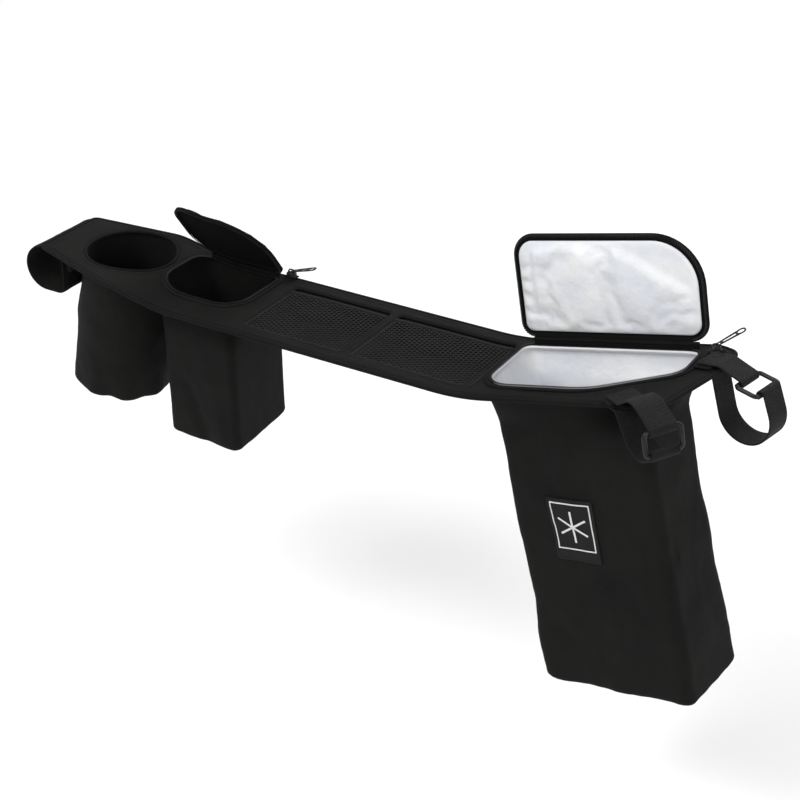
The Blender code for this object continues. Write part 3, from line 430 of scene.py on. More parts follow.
def add_node(tree, kind, links=(), **settings):
    """A node with its settings, in_NAME for a socket's value, and its (socket, source) links."""
    made = tree.nodes.new(kind)
    for key, value in settings.items():
        if key.startswith("in_"):
            made.inputs[key[3:].replace("_", " ")].default_value = value
        else:
            setattr(made, key, value)
    for socket, source in links:
        tree.links.new(source, made.inputs[socket])
    return made


def colour_ramp(tree, source, low, high, start=0.3, end=0.7):
    ramp = add_node(tree, "ShaderNodeValToRGB", [("Fac", source)])
    for element, place, colour in zip(ramp.color_ramp.elements, (start, end), (low, high)):
        element.position = place
        element.color = (*colour, 1.0)
    return ramp.outputs["Color"]


def texture(tree, kind, place, **settings):
    return add_node(tree, kind, [("Vector", place.outputs["Object"])], **settings)


def bump(tree, height, strength, distance, under=None):
    links = [("Height", height)] + ([("Normal", under)] if under else [])
    made = add_node(tree, "ShaderNodeBump", links, in_Strength=strength, in_Distance=distance)
    return made.outputs["Normal"]


def varied(tree, source, low, high):
    made = add_node(tree, "ShaderNodeMapRange", [("Value", source)], in_To_Min=low, in_To_Max=high)
    return made.outputs["Result"]


def dress(tree, shader, colour, normal, roughness=None):
    tree.links.new(colour, shader.inputs["Base Color"])
    tree.links.new(normal, shader.inputs["Normal"])
    if roughness:
        tree.links.new(roughness, shader.inputs["Roughness"])


def weave_height(tree, coords, across, along):
    """Crossed threads: two sine bands of the UV map in metres, multiplied."""
    split = add_node(tree, "ShaderNodeSeparateXYZ", [(0, coords)])
    bands = []
    for axis, pitch in (("X", across), ("Y", along)):
        scale = add_node(tree, "ShaderNodeMath", [(0, split.outputs[axis])], operation="MULTIPLY")
        scale.inputs[1].default_value = 2.0 * math.pi / pitch
        bands.append(add_node(tree, "ShaderNodeMath", [(0, scale.outputs[0])], operation="SINE").outputs[0])
    return add_node(tree, "ShaderNodeMath", enumerate(bands), operation="MULTIPLY").outputs[0]


def cloth(name, colour, lighter, roughness, threads=(0.0005, 0.0005), depth=0.0001, sheen=0.02,
          blotch=18.0, gloss=0.08):
    """Woven cloth: threads from the UV map, soft blotches of colour and uneven nap."""
    made, tree, shader = node_tree(name, colour, roughness, gloss)
    shader.inputs["Sheen Weight"].default_value = sheen
    shader.inputs["Sheen Roughness"].default_value = 0.45
    place = add_node(tree, "ShaderNodeTexCoord")
    cloud = texture(tree, "ShaderNodeTexNoise", place, in_Scale=blotch, in_Detail=6.0,
                    in_Roughness=0.62).outputs["Fac"]
    nap = texture(tree, "ShaderNodeTexNoise", place, in_Scale=420.0, in_Detail=3.0).outputs["Fac"]
    weave = bump(tree, weave_height(tree, place.outputs["UV"], *threads), 0.8, depth)
    dress(tree, shader, colour_ramp(tree, cloud, colour, lighter), bump(tree, nap, 0.5, 0.00025, weave),
          varied(tree, cloud, roughness - 0.1, roughness + 0.08))
    return made


def foil(name):
    """White insulated lining: a smooth sheet with fine crinkles, with painted shade that makes their hollows
    darker and bluer.
    """
    made, tree, shader = node_tree(name, (0.70, 0.71, 0.74), 0.42, 0.40)
    place = add_node(tree, "ShaderNodeTexCoord")
    crease_height_and_shade = texture(tree, "ShaderNodeTexNoise", place, in_Scale=36.0, in_Detail=7.0,
                         in_Roughness=0.55).outputs["Fac"]
    fine = texture(tree, "ShaderNodeTexVoronoi", place, feature="DISTANCE_TO_EDGE",
                   in_Scale=60.0).outputs["Distance"]
    soft = bump(tree, crease_height_and_shade, 0.6, 0.004)
    # Painted shade: where the crinkle noise is low, in the hollows of its bump, the colour is darker and
    # bluer, and where it is high the colour is a warmer white.
    dress(tree, shader, colour_ramp(tree, crease_height_and_shade, (0.60, 0.62, 0.67), (0.73, 0.73, 0.72)),
          bump(tree, fine, 0.25, 0.0012, soft))
    return made


def moulded(name, colour, roughness, metallic=0.0, gloss=0.5):
    """Moulded plastic or painted metal with a fine grain and worn patches."""
    made, tree, shader = node_tree(name, colour, roughness, gloss, metallic)
    place = add_node(tree, "ShaderNodeTexCoord")
    grain = texture(tree, "ShaderNodeTexNoise", place, in_Scale=900.0, in_Detail=2.0).outputs["Fac"]
    wear = texture(tree, "ShaderNodeTexNoise", place, in_Scale=120.0, in_Detail=4.0).outputs["Fac"]
    lighter = tuple(min(1.0, c * 1.8 + 0.004) for c in colour)
    dress(tree, shader, colour_ramp(tree, wear, colour, lighter, 0.45, 0.8), bump(tree, grain, 0.3, 0.0001),
          varied(tree, wear, roughness * 0.8, min(1.0, roughness * 1.3)))
    return made


BLACK = (0.0042, 0.0043, 0.0041)
BLACK_WORN = (0.0082, 0.0082, 0.0076)
LOOKS = {
    "fabric": cloth("black_fabric", BLACK, BLACK_WORN, 0.72, (0.0007, 0.0007), 0.00012, 0.010),
    "binding": cloth("binding_tape", (0.005, 0.005, 0.0053), (0.009, 0.009, 0.009), 0.8,
                     (0.0012, 0.0006), 0.0002, 0.015),
    "webbing": cloth("woven_webbing", (0.006, 0.006, 0.007), (0.012, 0.012, 0.013), 0.68,
                     (0.0020, 0.0013), 0.0006, 0.02, 60.0, 0.14),
    "tape": cloth("zipper_tape", (0.0045, 0.0045, 0.0045), (0.008, 0.008, 0.008), 0.82,
                  (0.0009, 0.0006), 0.0002, 0.012),
    "mesh": cloth("knitted_mesh", (0.016, 0.016, 0.016), (0.028, 0.028, 0.028), 0.7, sheen=0.05, gloss=0.2),
    "elastic": cloth("ribbed_elastic", (0.008, 0.008, 0.008), (0.014, 0.014, 0.014), 0.75,
                     (0.0011, 0.004), 0.0005, 0.04),
    "dark_lining": cloth("nylon_lining", (0.004, 0.004, 0.0043), (0.007, 0.007, 0.0075), 0.5,
                         (0.0004, 0.0004), 0.00006),
    "hook": cloth("hook_and_loop", (0.009, 0.009, 0.009), (0.02, 0.02, 0.02), 0.95,
                  (0.0010, 0.0010), 0.0008, 0.08, 300.0),
    "patch": cloth("woven_patch", (0.008, 0.008, 0.009), (0.012, 0.012, 0.013), 0.6, sheen=0.03),
    "print": cloth("white_print", (0.62, 0.63, 0.62), (0.74, 0.75, 0.74), 0.6, sheen=0.0, blotch=200.0),
    "thread": cloth("sewing_thread", (0.014, 0.014, 0.015), (0.026, 0.026, 0.027), 0.6,
                    (0.0004, 0.0008), sheen=0.04),
    "lining": foil("insulated_lining"),
    "coil": moulded("coil_plastic", (0.008, 0.008, 0.008), 0.40, gloss=0.3),
    "ring": moulded("ring_plastic", (0.006, 0.006, 0.0065), 0.34, gloss=0.24),
    "slider": moulded("painted_metal", (0.024, 0.024, 0.025), 0.38, 0.7, 0.35),
    "pull": moulded("pull_plastic", (0.008, 0.008, 0.0085), 0.34, gloss=0.28),
}


# Making pieces

def piece(name, shape, look, body=ROOT, nodes=(), smooth=True, merge=0.0):
    """One visible piece from (points, faces, uvs), riding on a body and standing for CAD nodes."""
    points, faces, uvs = shape
    mesh = bpy.data.meshes.new(name)
    mesh.from_pydata([tuple(p) for p in points], [], [list(f) for f in faces])
    if uvs is not None:
        layer = mesh.uv_layers.new(name="UVMap")
        corners = np.zeros(len(mesh.loops), np.int32)
        mesh.loops.foreach_get("vertex_index", corners)
        layer.data.foreach_set("uv", np.array(uvs, np.float32)[corners].ravel())
    draft = bmesh.new()
    draft.from_mesh(mesh)
    if merge:
        bmesh.ops.remove_doubles(draft, verts=draft.verts, dist=merge)
    bmesh.ops.recalc_face_normals(draft, faces=draft.faces)
    draft.to_mesh(mesh)
    draft.free()
    mesh.polygons.foreach_set("use_smooth", [smooth] * len(mesh.polygons))
    made = bpy.data.objects.new(name, mesh)
    made.data.materials.append(LOOKS[look])
    bpy.context.scene.collection.objects.link(made)
    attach(made, body)
    if nodes:
        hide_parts(*nodes)
    return made


def joined(shapes):
    points, faces, uvs = [], [], []
    for some_points, some_faces, some_uvs in shapes:
        start = len(points)
        points += list(some_points)
        faces += [[start + i for i in face] for face in some_faces]
        uvs += list(some_uvs)
    return points, faces, uvs


def moved(shape, matrix):
    return [matrix @ Vector(p) for p in shape[0]], shape[1], shape[2]


def tube(path, radii, sides=10, closed=False, up=Vector((0.0, 0.0, 1.0)), squash=1.0):
    """A rod along a path. up is one direction or one for each point; squash flattens it along up."""
    count = len(path)
    radii = radii if hasattr(radii, "__len__") else [radii] * count
    ups = up if isinstance(up, list) else [up] * count
    points, uvs, faces = [], [], []
    run = 0.0
    for i, here in enumerate(path):
        before = path[(i - 1) % count] if closed else path[max(i - 1, 0)]
        after = path[(i + 1) % count] if closed else path[min(i + 1, count - 1)]
        ahead = (after - before).normalized()
        side = ahead.cross(ups[i]).normalized()
        over = side.cross(ahead)
        run += (here - path[i - 1]).length if i else 0.0
        for k in range(sides):
            t = 2.0 * math.pi * (k + 0.5) / sides
            points.append(here + (side * math.cos(t) + over * math.sin(t) * squash) * radii[i])
            uvs.append((radii[i] * t, run))
    rows = count if closed else count - 1
    for i in range(rows):
        a, b = i * sides, ((i + 1) % count) * sides
        for k in range(sides):
            n = (k + 1) % sides
            faces.append([a + k, a + n, b + n, b + k])
    if not closed:
        faces.append([k for k in range(sides)][::-1])
        faces.append([(count - 1) * sides + k for k in range(sides)])
    return points, faces, uvs


def border_distance(points, loops):
    line = np.array([p for loop in loops for p in divided(loop, 0.0007)])
    made = np.empty(len(points))
    for start in range(0, len(points), 2000):
        part = points[start:start + 2000]
        gaps = np.hypot(part[:, None, 0] - line[None, :, 0], part[:, None, 1] - line[None, :, 1])
        made[start:start + 2000] = gaps.min(axis=1)
    return made


def inner_ring(loop, inset, hole):
    """Points a little inside the material beside a border."""
    line = np.array(loop)
    ahead = np.roll(line, -1, axis=0) - np.roll(line, 1, axis=0)
    ahead /= np.maximum(np.hypot(ahead[:, 0], ahead[:, 1])[:, None], 1e-12)
    left = np.stack([-ahead[:, 1], ahead[:, 0]], axis=1)
    after = np.roll(line, -1, axis=0)
    area = float(np.sum(line[:, 0] * after[:, 1] - after[:, 0] * line[:, 1]))
    side = 1.0 if (area > 0.0) != hole else -1.0
    return line + left * side * inset


def padded_plate(outline, holes, levels, place, grid=0.003, puff=0.0, puff_reach=0.012, wave=None):
    """A soft flat piece between two heights, with rounded borders, that can puff up and ripple."""
    loops = [list(outline)] + [list(hole) for hole in holes]
    low, high = levels
    half = (high - low) / 2.0
    middle = (high + low) / 2.0
    flat = [np.array(loop) for loop in loops]
    edges = []
    start = 0
    for loop in loops:
        edges += [(start + i, start + (i + 1) % len(loop)) for i in range(len(loop))]
        start += len(loop)
    for inset in (half * 0.25, half * 1.0):
        for index, loop in enumerate(loops):
            ring = inner_ring(loop, inset, index > 0)
            near = border_distance(ring, loops)
            flat.append(ring[near > inset * 0.8])
    spans_u = np.arange(min(p[0] for p in outline), max(p[0] for p in outline), grid)
    spans_v = np.arange(min(p[1] for p in outline), max(p[1] for p in outline), grid * 0.87)
    field = np.array([(u + (grid / 2.0 if j % 2 else 0.0), v) for j, v in enumerate(spans_v)
                      for u in spans_u])
    keep = inside_many(field, loops[0])
    for hole in loops[1:]:
        keep &= ~inside_many(field, hole)
    field = field[keep]
    if len(field):
        flat.append(field[border_distance(field, loops) > half + grid * 0.45])
    everything = np.concatenate(flat)
    cut = delaunay_2d_cdt([Vector(p) for p in everything], edges, [], 0, 1e-7)
    verts = np.array([tuple(p) for p in cut[0]])
    tris = np.array([f[:3] for f in cut[2]])
    middles = verts[tris].mean(axis=1)
    a, b, c = verts[tris[:, 0]], verts[tris[:, 1]], verts[tris[:, 2]]
    area = np.abs((b[:, 0] - a[:, 0]) * (c[:, 1] - a[:, 1]) - (b[:, 1] - a[:, 1]) * (c[:, 0] - a[:, 0]))
    good = inside_many(middles, loops[0]) & (area > 1e-10)
    for hole in loops[1:]:
        good &= ~inside_many(middles, hole)
    tris = tris[good]
    distance = border_distance(verts, loops)
    on_border = np.zeros(len(verts), bool)
    border_count = sum(len(loop) for loop in loops)
    on_border[:border_count] = True
    share = np.clip(distance / half, 0.0, 1.0)
    round_off = np.sqrt(np.clip(1.0 - (1.0 - share) ** 2, 0.0, 1.0))
    round_off[on_border] = 0.0
    rise = puff * (1.0 - np.exp(-distance / puff_reach))
    points, uvs = [], []
    count = len(verts)
    for side in (1.0, -1.0):
        for i in range(count):
            u, v = float(verts[i, 0]), float(verts[i, 1])
            h = middle + side * half * round_off[i] + (rise[i] if side > 0 else rise[i] * 0.2)
            if wave:
                h += wave(u, v, float(distance[i]))
            points.append(place(u, v, float(h)))
            uvs.append((u, v))
    faces = [list(t) for t in tris] + [[int(i) + count for i in t[::-1]] for t in tris]
    for i in range(count):
        if on_border[i]:
            points[i + count] = points[i]
    used = sorted({int(i) for f in faces for i in f})
    number = {old: new for new, old in enumerate(used)}
    return [points[i] for i in used], [[number[int(i)] for i in f] for f in faces], [uvs[i] for i in used]


def crumple(x, y, z, size, octaves=4):
    """Smooth noise from about -1 to 1, with features of the given size."""
    return noise.fractal(Vector((x / size, y / size, z / size)), 0.9, 2.1, octaves)


def track(path, ups):
    """A path's length, and its point and direction up at a distance along it."""
    steps = np.array([(b - a).length for a, b in zip(path[:-1], path[1:])])
    marks = np.concatenate([[0.0], np.cumsum(steps)])
    line = np.array([tuple(p) for p in path])
    over = np.array([tuple(u) for u in ups])

    def at(s):
        return Vector([np.interp(s, marks, line[:, k]) for k in range(3)])

    def up(s):
        return Vector([np.interp(s, marks, over[:, k]) for k in range(3)]).normalized()

    return float(marks[-1]), at, up


def stitches(path, ups, name, body=ROOT, pitch=0.0031, length=0.0023):
    """A row of short thread stitches along a path, half sunk in the cloth."""
    radius = 0.00022
    end, at, up_at = track(path, ups)
    lifts = (-0.6, 0.3, 0.7, 0.3, -0.6)
    radii = [radius * 0.55, radius, radius * 1.1, radius, radius * 0.55]
    shapes = []
    for s in np.arange(pitch / 2.0, end - length, pitch):
        centre = [at(t) for t in (s, s + length * 0.2, s + length * 0.5, s + length * 0.8, s + length)]
        up = up_at(s)
        shapes.append(tube([c + up * radius * lift for c, lift in zip(centre, lifts)], radii, 6, up=up))
    return piece(name, joined(shapes), "thread", body)


def coil_rows(path, ups, name, body, node):
    """A zipper's coil: one fine wire wound along the tape's edge."""
    end, at, up_at = track(path, ups)
    wound, lifts = [], []
    for k in range(int(end / TOOTH_PITCH) * 8 + 1):
        s = min(end, k * TOOTH_PITCH / 8.0)
        ahead = (at(min(end, s + 0.0005)) - at(max(0.0, s - 0.0005))).normalized()
        up = up_at(s)
        t = 2.0 * math.pi * k / 8.0
        wound.append(at(s) + ahead.cross(up) * math.cos(t) * TOOTH_REACH
                     + up * math.sin(t) * (COIL_RADIUS - TOOTH_WIRE))
        lifts.append(ahead)
    return piece(name, tube(wound, TOOTH_WIRE, 5, up=lifts), "coil", body, [node])


# Bags

def hanging_place(u, v, lean, turn_x, twist, flare):
    """Maps (x, y, depth) of a bag's own frame, hung below the deck at (u, v)."""
    top = on_deck(u, v, -DECK_THICKNESS - GAP)

    def place(x, y, depth):
        share = min(1.0, max(0.0, depth / flare))
        turn = math.radians(twist * share)
        local = Vector((x * math.cos(turn) - y * math.sin(turn),
                        x * math.sin(turn) + y * math.cos(turn), -depth))
        local.rotate(Matrix.Rotation(math.radians(turn_x), 3, "X"))
        local.rotate(Matrix.Rotation(-math.radians(lean), 3, "Y"))
        return top + local

    return place


def bag_surface(spec, inset, count=144, step=0.004, lift=0.0, lift_inset=0.0):
    """Loops of one surface of a bag from its rim down to the middle of its floor."""
    corners, centre, sections, depth, place, flare, swell = spec
    top = np.array(polar(rounded(grown(corners, -inset)), centre, count))
    raised = np.array(polar(rounded(grown(corners, -inset - lift_inset)), centre, count))
    upper, lower = (np.array(polar(rounded(grown(s, -inset)), (0.0, 0.0), count)) for s in sections)
    end = depth - inset
    rows = []
    if lift:
        rows += [(-lift, 1.0), (-lift * 0.5, 1.0)]
    straight = end - FLOOR_ROUNDING
    rows += [(d, 1.0) for d in np.linspace(0.0, straight, max(8, int(straight / step)))]
    reach = min(abs(c[1]) for c in sections[1])
    for k in range(1, 6):
        t = math.pi / 2.0 * k / 5.0
        rows.append((straight + FLOOR_ROUNDING * math.sin(t),
                     1.0 - FLOOR_ROUNDING * 0.8 / reach * (1.0 - math.cos(t))))
    last = rows[-1][1]
    for k in range(1, 9):
        rows.append((end, last * (1.0 - k / 8.5)))
    loops = []
    for depth_here, scale in rows:
        share = min(1.0, max(0.0, depth_here / flare))
        share = share * share * (3.0 - 2.0 * share)
        section = upper + (lower - upper) * max(0.0, (depth_here - flare) / (end - flare))
        ring = []
        source = raised if depth_here < 0.0 else top
        for k in range(count):
            a, b = source[k]
            x, y = section[k] * scale
            reach_here = math.hypot(x, y) + 1e-9
            grow, drop = swell(k / count, x, y, depth_here, depth)
            x += x / reach_here * grow
            y += y / reach_here * grow
            above = on_deck(centre[0] + a, centre[1] + b, -DECK_THICKNESS - GAP - depth_here)
            ring.append(above.lerp(place(x, y, depth_here + drop), share))
        loops.append(ring)
    return loops


def vessel(outside, inside):
    """A bag from its outer and inner loops, both listed from the rim down."""
    points, faces, uvs, rims = [], [], [], []
    count = len(outside[0])
    for loops in (outside, inside):
        start = len(points)
        rims.append(start)
        runs = np.zeros(count)
        for row, loop in enumerate(loops):
            if row:
                runs += [(a - b).length for a, b in zip(loop, loops[row - 1])]
            points += loop
            around = 0.0
            for k in range(count):
                uvs.append((around, float(runs.mean())))
                around += (loops[0][(k + 1) % count] - loops[0][k]).length
        for row in range(len(loops) - 1):
            upper, lower = start + row * count, start + (row + 1) * count
            for k in range(count):
                n = (k + 1) % count
                faces.append([upper + k, upper + n, lower + n, lower + k])
        last = start + (len(loops) - 1) * count
        points.append(sum(loops[-1], Vector()) / count)
        uvs.append(uvs[last])
        faces += [[last + k, last + (k + 1) % count, len(points) - 1] for k in range(count)]
    for k in range(count):
        n = (k + 1) % count
        faces.append([rims[0] + k, rims[0] + n, rims[1] + n, rims[1] + k])
    return points, faces, uvs


def smooth_step(x):
    x = min(1.0, max(0.0, x))
    return x * x * (3.0 - 2.0 * x)


def crease(x, y, start, end, width):
    """How close a point is to a straight crease, from 0 to 1."""
    a, b, p = Vector(start), Vector(end), Vector((x, y))
    along = b - a
    share = min(1.0, max(0.0, (p - a).dot(along) / along.length_squared))
    gap = (p - a - along * share).length
    return math.exp(-(gap / width) ** 2)


def cup_swell(turn, x, y, depth, total):
    down = smooth_step(depth / 0.02)
    soft = crumple(x, y, depth, 0.045) * 0.0011 + crumple(x + 3.0, y, depth, 0.014) * 0.00025
    low = smooth_step((depth - total + 0.028) / 0.028)
    dent = -0.0030 * low * math.exp(-((turn - 0.80) / 0.035) ** 2)
    dent -= 0.0020 * low * math.exp(-((turn - 0.93) / 0.03) ** 2)
    pull = -0.0012 * low * (0.5 + 0.5 * math.sin(turn * 2.0 * math.pi * 9.0))
    return down * (soft + dent + pull), low * crumple(x, y, 0.3, 0.03) * 0.0015


def pocket_swell(turn, x, y, depth, total):
    down = smooth_step(depth / 0.03)
    soft = crumple(x + 1.0, y, depth, 0.05) * 0.0009 + crumple(x, y + 2.0, depth, 0.016) * 0.00022
    low = smooth_step((depth - total + 0.03) / 0.03)
    front = 1.0 if y < -0.02 else 0.0
    folds = -0.0016 * crease(x, depth, (0.004, total - 0.004), (-0.012, total - 0.050), 0.006) * front
    folds += 0.0012 * crease(x, depth, (0.018, total - 0.010), (0.012, total - 0.060), 0.007) * front
    return down * (soft + folds), low * crumple(x, y, 0.7, 0.035) * 0.0012


def bag_swell(turn, x, y, depth, total):
    down = smooth_step(depth / 0.05)
    soft = crumple(x + 5.0, y, depth, 0.075) * 0.0020 + crumple(x, y + 7.0, depth, 0.024) * 0.00045
    front = 1.0 if y < -0.02 else 0.0
    side = 1.0 if x > 0.045 else 0.0
    folds = -0.0013 * crease(x, depth, (0.060, 0.125), (0.018, 0.148), 0.008) * front
    folds += 0.0010 * crease(x, depth, (0.058, 0.140), (0.024, 0.160), 0.009) * front
    folds -= 0.0009 * crease(x, depth, (-0.060, 0.172), (-0.030, 0.200), 0.009) * front
    folds -= 0.0012 * crease(y, depth, (-0.030, 0.120), (0.020, 0.150), 0.009) * side
    low = smooth_step((depth - total + 0.03) / 0.03)
    sag = low * (crumple(x, y, 0.2, 0.05) * 0.0022 + 0.0010 * math.sin(x * 95.0))
    return down * (soft + folds), sag


def cup_spec():
    outside = CUP_WALL + CUP_LINING + GAP
    round_corners = box_corners(2.0 * CUP_HOLE_RADIUS, 2.0 * CUP_HOLE_RADIUS, CUP_HOLE_RADIUS * 0.999)
    top = grown([(c[0] + CUP_U, c[1] + CUP_V, c[2]) for c in round_corners], outside)
    place = hanging_place(CUP_U, CUP_V, CUP_LEAN, 0.0, 0.0, CUP_FLARE)
    sections = [grown(round_corners, outside)] * 2
    return top, (CUP_U, CUP_V), sections, CUP_DEPTH, place, CUP_FLARE, cup_swell


def pocket_spec():
    centre = (POCKET_U + POCKET_LENGTH / 2.0, POCKET_MIDDLE)
    place = hanging_place(POCKET_BOX_U, POCKET_BOX_V, POCKET_LEAN, POCKET_SWING, 0.0, FLARE)
    sections = [box_corners(POCKET_BOX_LENGTH, POCKET_BOX_WIDTH, POCKET_BOX_CORNER)] * 2
    return pocket_corners(POCKET_WALL), centre, sections, POCKET_DEPTH, place, FLARE, pocket_swell


def bag_spec():
    centre = (BAG_U + BAG_LENGTH / 2.0, BAG_MIDDLE)
    place = hanging_place(centre[0] + BAG_SHIFT[0], BAG_MIDDLE + BAG_SHIFT[1], BAG_LEAN, 0.0, BAG_TWIST,
                          FLARE)
    sections = [region_corners(*s, BAG_CORNER) for s in (BAG_SECTION_TOP, BAG_SECTION_FLOOR)]
    return bag_corners(GAP + BAG_WALL + GAP), centre, sections, BAG_DEPTH, place, FLARE, bag_swell


def make_bags():
    for spec, count, name, node, wall in ((cup_spec(), 144, "cup_wall_cloth", "cup_wall", CUP_WALL),
                                          (pocket_spec(), 144, "pocket_cloth", "pocket_body", POCKET_WALL),
                                          (bag_spec(), 176, "bag_cloth", "bag_body", BAG_WALL)):
        walls = [bag_surface(spec, inset, count, lift=SEAM_RISE) for inset in (0.0, wall)]
        piece(name, vessel(*walls), "fabric", nodes=[node])
        if node == "cup_wall":
            walls = [bag_surface(spec, wall + GAP + inset, lift=SEAM_RISE) for inset in (0.0, CUP_LINING)]
            piece("cup_lining_cloth", vessel(*walls), "dark_lining", nodes=["cup_lining"])
    walls = [bag_surface(bag_spec(), BAG_WALL + GAP + inset, 176, lift=LINING_RISE, lift_inset=LINING_INWARD)
             for inset in (0.0, BAG_LINING * 0.5)]
    piece("bag_lining_foil", vessel(*walls), "lining", nodes=["bag_lining"])


# The deck and its openings

def deck_wave(u, v, distance):
    soft = crumple(u, v, 0.0, 0.060, 3) * 0.0007 + crumple(u, v, 4.0, 0.018, 2) * 0.00018
    return soft * smooth_step(distance / 0.004)


def make_deck():
    holes = [circle((CUP_U, CUP_V), CUP_HOLE_RADIUS), rounded(pocket_corners()), rounded(bag_corners())]
    holes += [rounded(window_corners(w)) for w in mesh_windows()]
    panel = padded_plate(rounded(deck_corners(-0.0005)), holes, (-DECK_THICKNESS, 0.0), on_deck,
                         grid=0.0032, puff=0.0004, puff_reach=0.006, wave=deck_wave)
    deck = piece("deck_cloth", panel, "fabric", nodes=["deck_panel"])
    line = rounded(deck_corners(0.0006))
    path, ups = deck_line(line, -DECK_THICKNESS * 0.5)
    piece("deck_binding", tube(path, BINDING_RADIUS, 10, closed=True, up=ups, squash=0.95), "binding",
          nodes=["deck_edge_binding"])
    stitches(*deck_line(closed(rounded(deck_corners(-0.0042))), 0.0004), "deck_edge_stitching")


def make_cup_collar():
    path, ups = deck_line(circle((CUP_U, CUP_V), CUP_HOLE_RADIUS - 0.0007, 120), -0.0006)
    piece("cup_piping", tube(path, PIPING_RADIUS, 12, closed=True, up=ups, squash=1.2), "binding",
          nodes=["cup_collar"])
    line = closed(circle((CUP_U, CUP_V), CUP_HOLE_RADIUS + 0.0030, 120))
    stitches(*deck_line(line, 0.0003), "cup_stitching")


def open_path(corners, by, step=0.0015):
    """The outline without its far side, from the hinge's right end round to its left."""
    line = rounded(grown(corners, by), step)
    far = max(p[1] for p in line)
    top = [i for i, p in enumerate(line) if far - p[1] < 1e-5]
    start = max(top, key=lambda i: -line[i][0])
    ordered = line[start:] + line[:start]
    last = max(range(len(ordered)), key=lambda i: (far - ordered[i][1] < 1e-5) * ordered[i][0])
    return ordered[: last + 1]


def pressed(u, v):
    """How far a shut lid's teeth are pressed into its tape by the end of the near strap."""
    turn = math.radians(NEAR_STRAP["turn"])
    spot = (NEAR_STRAP["u"] - STRAP_TAIL * math.sin(turn) + WEB_WIDTH / 2.0 * math.cos(turn),
            NEAR_STRAP["v"] + STRAP_TAIL * math.cos(turn) + WEB_WIDTH / 2.0 * math.sin(turn))
    return 0.0014 * math.exp(-(math.dist((u, v), spot) / 0.009) ** 2)


def make_zip(name, corners, degrees, kind, body):
    """A tape, its coil and its seam stitching, on the deck's rim or on a lid turned open."""
    levels = stack()
    if degrees:
        move = swing(corners, degrees)
        low, high = levels["lid_tape"]
        layer = (low, high + GAP * 0.9)
        coil_edge, seam = TAPE_OUTSIDE - 0.0014, levels["skin"][1] + 0.0001

        def coil(u, v):
            return levels["lid_coil"] + GAP + pressed(u, v)
    else:
        move = Matrix.Identity(4)
        low, high = levels["tape"]
        layer = (low - GAP * 0.9, high)
        coil_edge, seam = -TAPE_INSIDE - 0.0002, high
        coil = levels["coil"] - GAP
    ring = padded_plate(rounded(grown(corners, TAPE_OUTSIDE)), [rounded(grown(corners, -TAPE_INSIDE))],
                        layer, on_deck)
    piece(f"{name}_{kind}_tape_cloth", moved(ring, move), "tape", body, [f"{name}_{kind}_zip_tape"])
    coil_rows(*deck_line(open_path(corners, coil_edge), coil, move), f"{name}_{kind}_teeth", body,
              f"{name}_{kind}_zip_coil")
    stitches(*deck_line(open_path(corners, TAPE_OUTSIDE - 0.0018), seam, move), f"{name}_{kind}_stitching",
             body)


def make_hinge(name, corners):
    left, right, v = hinge_line(corners)
    a, b, axis = hinge_frame(corners)
    count = int((right - left) / 0.0015)
    path = [a + (b - a) * (k / count) for k in range(count + 1)]
    wobble = [(HINGE_RADIUS + GAP) * (1.05 + 0.04 * math.sin(k * 1.9)) for k in range(count + 1)]
    roll = tube(path, wobble, 12)
    half = HINGE_RADIUS * 0.5
    across = Vector((0.0, half, 0.0))
    points, faces, uvs = [], [], []
    for k in range(count + 1):
        foot = on_deck(left + (right - left) * k / count, v, GAP)
        for p in (foot - across * 1.5, foot + across * 1.5, path[k] + across, path[k] - across):
            points.append(p)
            uvs.append((p.z, k * 0.0015))
    for i in range(count):
        for k in range(4):
            n = (k + 1) % 4
            faces.append([i * 4 + k, i * 4 + n, (i + 1) * 4 + n, (i + 1) * 4 + k])
    faces += [[3, 2, 1, 0], [count * 4 + k for k in range(4)]]
    piece(f"{name}_hinge_seam", joined([roll, (points, faces, uvs)]), "fabric",
          nodes=[f"{name}_lid_hinge"])


def settled(shape, outline, reach, growth, held):
    """Lets one face of a pad settle as cloth under a little pressure, up to a reach.

    The border and the face on the held side (1 upper, -1 lower) stay where they are.
    """
    points, faces, uvs = shape
    mesh = bpy.data.meshes.new("settling")
    mesh.from_pydata([tuple(p) for p in points], [], faces)
    pad = bpy.data.objects.new("settling", mesh)
    bpy.context.scene.collection.objects.link(pad)
    near = border_distance(np.array(uvs), [outline])
    half = len(points) // 2
    still = np.arange(len(points)) < half if held > 0 else np.arange(len(points)) >= half
    group = pad.vertex_groups.new(name="held")
    group.add([int(i) for i in np.nonzero(still | (near < 0.0015))[0]], 1.0, "REPLACE")
    cloth_sim = pad.modifiers.new("cloth", "CLOTH")
    settings = cloth_sim.settings
    for key, value in (("quality", 6), ("mass", 0.15), ("tension_stiffness", 12.0),
                       ("compression_stiffness", 12.0), ("bending_stiffness", 0.15), ("shrink_min", -growth),
                       ("shrink_max", -growth), ("use_pressure", True), ("uniform_pressure_force", 4.0),
                       ("vertex_group_mass", "held")):
        setattr(settings, key, value)
    settings.effector_weights.gravity = 0.0
    cloth_sim.collision_settings.use_collision = False
    for step in range(1, 21):
        bpy.context.scene.frame_set(step)
    view = bpy.context.evaluated_depsgraph_get()
    after = pad.evaluated_get(view).to_mesh()
    made = []
    for before, vertex in zip(points, after.vertices):
        shift = vertex.co - before
        longest = max(shift.length, 1e-9)
        made.append(before + shift * (reach * math.tanh(longest / reach) / longest))
    bpy.data.objects.remove(pad)
    bpy.context.scene.frame_set(1)
    return made, faces, uvs


